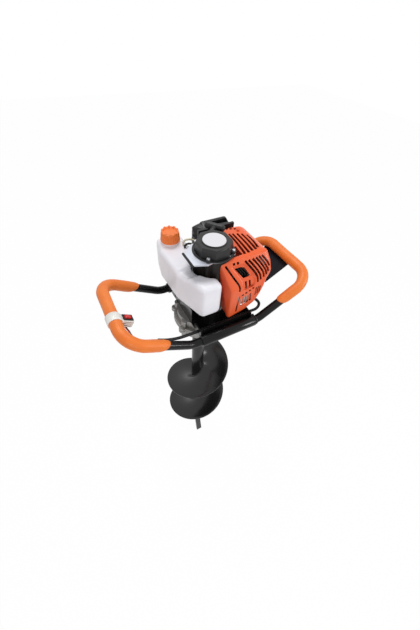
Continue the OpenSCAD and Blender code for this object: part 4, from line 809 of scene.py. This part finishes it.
def within(spot, outline):
    """How far a spot lies inside an outline, less than nothing where it is outside."""
    return min((outline[i] - outline[i - 1]).normalized().cross(spot - outline[i - 1])
               for i in range(len(outline)))


for corner in shroud.data.vertices:
    offset = (corner.co - on_lean(0, 0, 0)) * 1000
    spot = Vector((offset.x, offset.dot(lean_along.normalized())))
    inside = max(within(spot, outline) for outline in recess)
    if inside > 0 and abs(offset.dot(lean_out.normalized())) < 8:
        corner.co -= lean_out * recess_depth * ramp(inside, 0, recess_slope)
shroud.data.update()

outer = [corner.co.copy() for corner in shroud.data.vertices]
inner = [corner.co - corner.normal * shroud_wall for corner in shroud.data.vertices]
skin_faces = [tuple(face.vertices) for face in shroud.data.polygons]
inner_faces = [tuple(len(outer) + k for k in reversed(face)) for face in skin_faces]
bpy.data.objects.remove(shroud)
shroud_mesh = bpy.data.meshes.new("shroud_moulding")
shroud_mesh.from_pydata(outer + inner, [], skin_faces + inner_faces)
shroud = bpy.data.objects.new("shroud_moulding", shroud_mesh)
scene.collection.objects.link(shroud)
gap_reach = 54.5
lug_reach = 53
lug_radius = 8
starter_gap = []
for i in range(240):
    turn = math.pi / 120 * i
    reach = gap_reach
    for lug in (126, 226, 321):
        away = turn - math.radians(lug)
        aside = lug_reach * math.sin(away)
        if math.cos(away) > 0 and abs(aside) < lug_radius:
            reach = max(reach, lug_reach * math.cos(away) + math.sqrt(lug_radius ** 2 - aside ** 2))
    starter_gap.append((reach * math.cos(turn), reach * math.sin(turn)))
screw_holes = [(disc(x, y, 2.7, 24), 150, 215, on_crank) for x, y in ((66, 60), (111, 54))]
rear_opening = (block(60, 120, 70, 92), 42, 129, on_crank)
cut(shroud, [(starter_gap, -20, 245, on_crank), rear_opening] + screw_holes)
cut(shroud, [(block(-22, 222, -62, 98), -14, 40, on_crank)])
cut(shroud, [(block(40, 62.5, -47.3, 77.3), 1, 202.3, on_crank)])
cut(shroud, [(block(-40, 200, 0, 60), -60, 14, on_foot)])

# Cooling slots: long ones over the top and down the lean, then the window, short slots and square holes
top_lines = [[(62, -8), (59, -28), (59.5, -45)], [(78, 50), (76, 8), (70, -46)],
             [(88, 47), (86.5, 2), (83, -45.6)], [(100.5, 43), (99.5, -3), (96.3, -43)],
             [(112, 37), (111.5, -6), (108.5, -42)], [(123.5, 28), (124, -4), (118.5, -37)]]
slots = [(ribbon(line, 6.2, 8.6), 150, 215, on_crank) for line in top_lines]
slots += [(block(x - 4, x + 4, y - 3.4, y + 3.4), 150, 215, on_crank)
          for x, y in ((85, 74), (96, 70), (107, 65.5))]
lean_lines = [[(64, -9.9), (76.6, -28), (91.8, -51), (97.6, -67), (98.1, -80)],
              [(75.4, -10.5), (90.7, -31.9), (105.2, -57), (108.9, -75.4)],
              [(87.9, -10.1), (102.9, -30.2), (116.4, -54), (119.4, -70.8)],
              [(99.1, -9.3), (114.5, -30.9), (126, -53), (128.6, -66)],
              [(109, -8), (125, -32), (133.5, -50), (135, -59)],
              [(119, -8), (134, -29), (140.5, -44)]]
slots += [(ribbon(line, 6.6), -16, 15, on_lean) for line in lean_lines]
left_line = [(3.7, -8.7), (20.7, -43.2), (33, -66.8), (36.3, -79.3), (35.8, -89)]
slots.append((ribbon(left_line, 6), -16, 15, on_lean))
slots += [(ribbon(line, 6.2), -20, 15, on_lean)
          for line in ([(59.8, -66), (61.4, -88)], [(72.9, -66), (74.5, -86)])]
slots += [(block(x - 3.6, x + 3.6, -14, -7), -16, 15, on_lean) for x in (29.6, 41.8)]
window = [(31, -23.5), (53.5, -55.5), (72.3, -55), (75.8, -52), (63, -28), (50, -23.8)]
slots.append((window, -24, 15, on_lean))
for i in range(4):
    grille_line = [(50 + 9.6 * i, 60 + 2.9 * i), (47 + 9.4 * i, 92 + 1.9 * i)]
    slots.append((ribbon(grille_line, 7.4), -16, 12, on_front))
slots += [(block(45.2 + 11.8 * i, 52.6 + 11.8 * i, 99.6 + 3.6 * i, 105.6 + 3.6 * i), -16, 12, on_front)
          for i in range(4)]
slots.append((ribbon([(34.6, 42), (35, 63.4), (37.4, 103)], 5.4), -16, 12, on_front))
slots += [(ribbon([(95 + 7 * i, 84 + 2 * i), (96 + 7 * i, 112)], 4.4), -18, 12, on_front) for i in range(3)]
cut(shroud, slots)
bpy.ops.object.shade_smooth_by_angle(angle=math.radians(38))
shroud.data.materials.append(shroud_plastic)
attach(shroud, "frame")
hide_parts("shroud")

# Air cleaner: a lumpy black cover snapped over a flat base, with a folded paper element between them.
# A deep pocket in its top draws the air in; the choke lever and primer bulb sit on the base's front.
cleaner_plastic = finish("cleaner_plastic", shade(25, 25, 27), shade(34, 34, 36), (0.26, 0.42),
                         grain_scale=420.0, grain=0.2, shine=0.32, worn=shade(84, 84, 86), wear=0.5)
filter_paper = finish("filter_paper", shade(214, 200, 168), shade(198, 184, 150), (0.8, 0.95), grain=0.3)
cleaner_box = [(38, 115, 70, 8), (117, 115, 70, 8), (38, 141, 70, 8), (117, 141, 70, 8), (40, 115, 186, 8),
               (116, 115, 184, 8), (40, 141, 194, 8), (116, 141, 194, 8)]
cleaner_end = [(15, 115, 70, 8), (15, 141, 70, 8), (15, 116, 164, 8), (15, 141, 178, 8), (30, 115, 174, 8),
               (30, 140, 184, 8), (50, 128, 70, 8), (50, 128, 174, 8)]
cleaner_lump = [(15, 117, 168, 7), (13, 142, 186, 6), (24, 130, 188, 7), (34, 120, 188, 7), (30, 141, 190, 7)]
cleaner_ridge = [(24, 112, 186, 5), (70, 112, 197, 5), (119, 112, 192, 6), (119, 112, 170, 6),
                 (24, 112, 170, 5)]
cleaner_knobs = [[(8, 117, 150, 6), (16, 117, 150, 6)], [(7, 128, 172, 6), (18, 126, 172, 7)],
                 [(8, 138, 150, 6), (16, 138, 150, 6)], [(7, 122, 128, 6), (16, 122, 128, 6)],
                 [(8, 134, 106, 6), (16, 134, 106, 6)], [(22, 112, 178, 6), (30, 118, 190, 5)]]
cleaner_ribs = [[(x, 148, 84, 3), (x, 148, 176, 3)] for x in (52, 68, 84, 100)]
cleaner_forms = [cleaner_box, cleaner_end, cleaner_lump, cleaner_ridge] + cleaner_knobs + cleaner_ribs
cleaner = moulding("filter_cover_moulding", cleaner_forms, 0.002, 5)
air_pocket = [(74, 121), (121, 121), (121, 135), (62, 133)]
cut(cleaner, [(air_pocket, 176, 215, on_crank)])
bpy.ops.object.shade_smooth_by_angle(angle=math.radians(38))
cleaner.data.materials.append(cleaner_plastic)
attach(cleaner, "frame")
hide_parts("filter_cover")
dress(["filter_base", "choke_lever"], cleaner_plastic, 0.0015)
dress(["filter_element"], filter_paper)
dress(["primer_bulb"], rocker_plastic)

# Fuel tank: a blown, milky plastic bottle that wraps the left side of the engine on a bracket.
# A broad strap groove crosses its top, and it rests on a painted steel bracket.
tank_plastic = finish("tank_plastic", shade(240, 239, 245), shade(233, 232, 239), (0.3, 0.42),
                      grain_scale=300.0, grain=0.05)
tank_skin = tank_plastic.node_tree.nodes["Principled BSDF"]
tank_skin.inputs["Subsurface Weight"].default_value = 0.15
tank_skin.inputs["Subsurface Radius"].default_value = (0.012, 0.010, 0.009)
tank_top = sleeve_height + 0.164
groove_depth = 0.0055


def soft_copy(node, name, voxel, passes):
    """A moulded piece: a CAD node's own shape, closed up and with its edges softened."""
    bpy.ops.object.select_all(action="DESELECT")
    piece = nodes[node].copy()
    piece.data = nodes[node].data.copy()
    piece.name = name
    piece.parent = None
    for key in list(piece.keys()):
        del piece[key]
    piece.data.materials.clear()
    piece.modifiers.clear()
    scene.collection.objects.link(piece)
    piece.select_set(True)
    bpy.context.view_layer.objects.active = piece
    bpy.ops.object.mode_set(mode="EDIT")
    bpy.ops.mesh.select_all(action="SELECT")
    bpy.ops.mesh.remove_doubles(threshold=1e-6)
    bpy.ops.object.mode_set(mode="OBJECT")
    settle(piece, voxel, passes)
    return piece


tank = soft_copy("fuel_tank", "fuel_tank_moulding", 0.0022, 16)
for corner in tank.data.vertices:
    x, y, z = corner.co
    groove = ramp(y, -0.034, -0.022) * (1 - ramp(y, 0.004, 0.016))
    corner.co.z -= groove_depth * groove * ramp(z, tank_top - 0.03, tank_top - 0.004)
tank.data.update()
tank.data.materials.append(tank_plastic)
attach(tank, "frame")
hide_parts("fuel_tank")
dress(["tank_bracket"], black_paint, 0.0005)

# Fuel cap: an orange screw cap on the tank's neck at the rear, moulded with ribs for the fingers.
# Ten lugs stand round its crown, and its middle is sunk.
cap_plastic = finish("cap_plastic", shade(244, 130, 58), shade(236, 120, 50), (0.3, 0.44), grain=0.06,
                     worn=shade(250, 160, 100), wear=0.4)


def cap_shape(turn, ring):
    """Ribs up the side of the cap and ten lugs round its crown."""
    rib = 0.0016 * ramp(math.cos(26 * turn), -0.4, 0.6) - 0.0012 if 3 <= ring <= 7 else 0.0
    lug = 0.0026 * ramp(math.cos(10 * turn), -0.1, 0.7) if 9 <= ring <= 12 else 0.0
    return rib, lug


cap = turned("fuel_cap_moulding", on_crank(-65.9, 136, 171), steps=320, ripple=cap_shape, profile=[
    (0.0276, 0.0), (0.0285, 0.0008), (0.0285, 0.0045), (0.0276, 0.0062), (0.0272, 0.0105), (0.0267, 0.017),
    (0.0263, 0.0215), (0.026, 0.0235), (0.0257, 0.0255), (0.0252, 0.0278), (0.0242, 0.0292), (0.0215, 0.0296),
    (0.0198, 0.0288), (0.019, 0.0268), (0.0186, 0.0262), (0.006, 0.0264)])
cap.data.materials.append(cap_plastic)
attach(cap, "cap")
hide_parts("fuel_cap")

# Fuel hoses: a clear feed hose and a black return hose from the tank to the carburettor.
# Soft vinyl and rubber tube, pushed over the stubs at both ends.
hose_radius = 0.003
feed_route = [(-6, 106, 164.4), (-6, 106, 168.4), (-6, 106, 173.4), (2, 104, 181), (18, 99, 180),
              (38, 91, 164), (58, 87, 138), (76, 88, 112), (90, 88.5, 96), (98.2, 88.5, 95)]
return_route = [(-8, 92, 164.4), (-8, 92, 167.4), (-8, 92, 170.4), (0, 91, 176), (14, 88, 172), (32, 84, 152),
                (52, 82, 122), (70, 85, 92), (89, 88.5, 75), (98.2, 88.5, 74)]
clear_hose = finish("clear_hose", shade(226, 219, 194), shade(212, 204, 176), (0.2, 0.32), grain=0.04)
for name, route, skin in (("feed_hose", feed_route, clear_hose),
                          ("return_hose", return_route, black_insulation)):
    line = smooth_line([on_shaft(*point) for point in route], 10)
    hose = swept(name, line, hose_radius, resolution=4)
    hose.data.materials.append(skin)
    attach(hose, "frame")
    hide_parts("fuel_hoses")

# Bit: a steel tube with a plate wound round it as a right-handed flight, and a forked point below.
# The flight is welded on along its inner edge, and the whole bit is painted gloss black.
bit_paint = finish("bit_paint", shade(24, 24, 25), shade(18, 18, 19), (0.15, 0.24), grain_scale=200.0,
                   grain=0.03, shine=0.45, worn=shade(110, 108, 106), wear=0.45)
dress(["auger_stem", "auger_point"], bit_paint, 0.0008)
flight_start = math.radians(15)
flight_turns = 2.15
flight_pitch = 0.217
flight_foot = 0.190
flight_reach = 0.125
flight_inner = 0.02275
plate = 0.004


def helix(turn, radius, lift=0.0):
    angle = flight_start + 2 * math.pi * turn
    height = flight_foot + flight_pitch * turn + lift
    return Vector((radius * math.cos(angle), radius * math.sin(angle), height))


rim = [(flight_inner, 0.0), (0.04, 0.0), (0.065, 0.0), (0.09, 0.0), (0.112, 0.0), (0.1232, 0.0),
       (0.1245, 0.0004), (flight_reach, 0.0013), (flight_reach, 0.0027), (0.1245, 0.0036), (0.1232, plate),
       (0.112, plate), (0.09, plate), (0.065, plate), (0.04, plate), (flight_inner, plate)]
rings = 240
corners = []
for i in range(rings + 1):
    turn = flight_turns * i / rings
    for radius, lift in rim:
        corners.append(helix(turn, radius, lift))
loop = len(rim)
walls = [(i * loop + k, i * loop + (k + 1) % loop, (i + 1) * loop + (k + 1) % loop, (i + 1) * loop + k)
         for i in range(rings) for k in range(loop)]
ends = [tuple(range(loop - 1, -1, -1)), tuple(range(rings * loop, (rings + 1) * loop))]
flight = meshed("flight_plate", corners, walls + ends)
flight.data.materials.append(bit_paint)
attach(flight, "bit")
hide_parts("auger_flight")

bead_steps = 420
bead_reach = 0.0236
bead_radius = 0.0032
bead_line = [helix(flight_turns * i / bead_steps, bead_reach, plate) for i in range(bead_steps + 1)]
bead_sizes = [1.0 + 0.16 * math.sin(1.9 * i) + 0.1 * noise.noise(Vector((0.31 * i, 0, 0)))
              for i in range(bead_steps + 1)]
bead = swept("flight_weld", bead_line, bead_radius, bead_sizes, resolution=2)
bead.data.materials.append(bit_paint)
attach(bead, "bit")
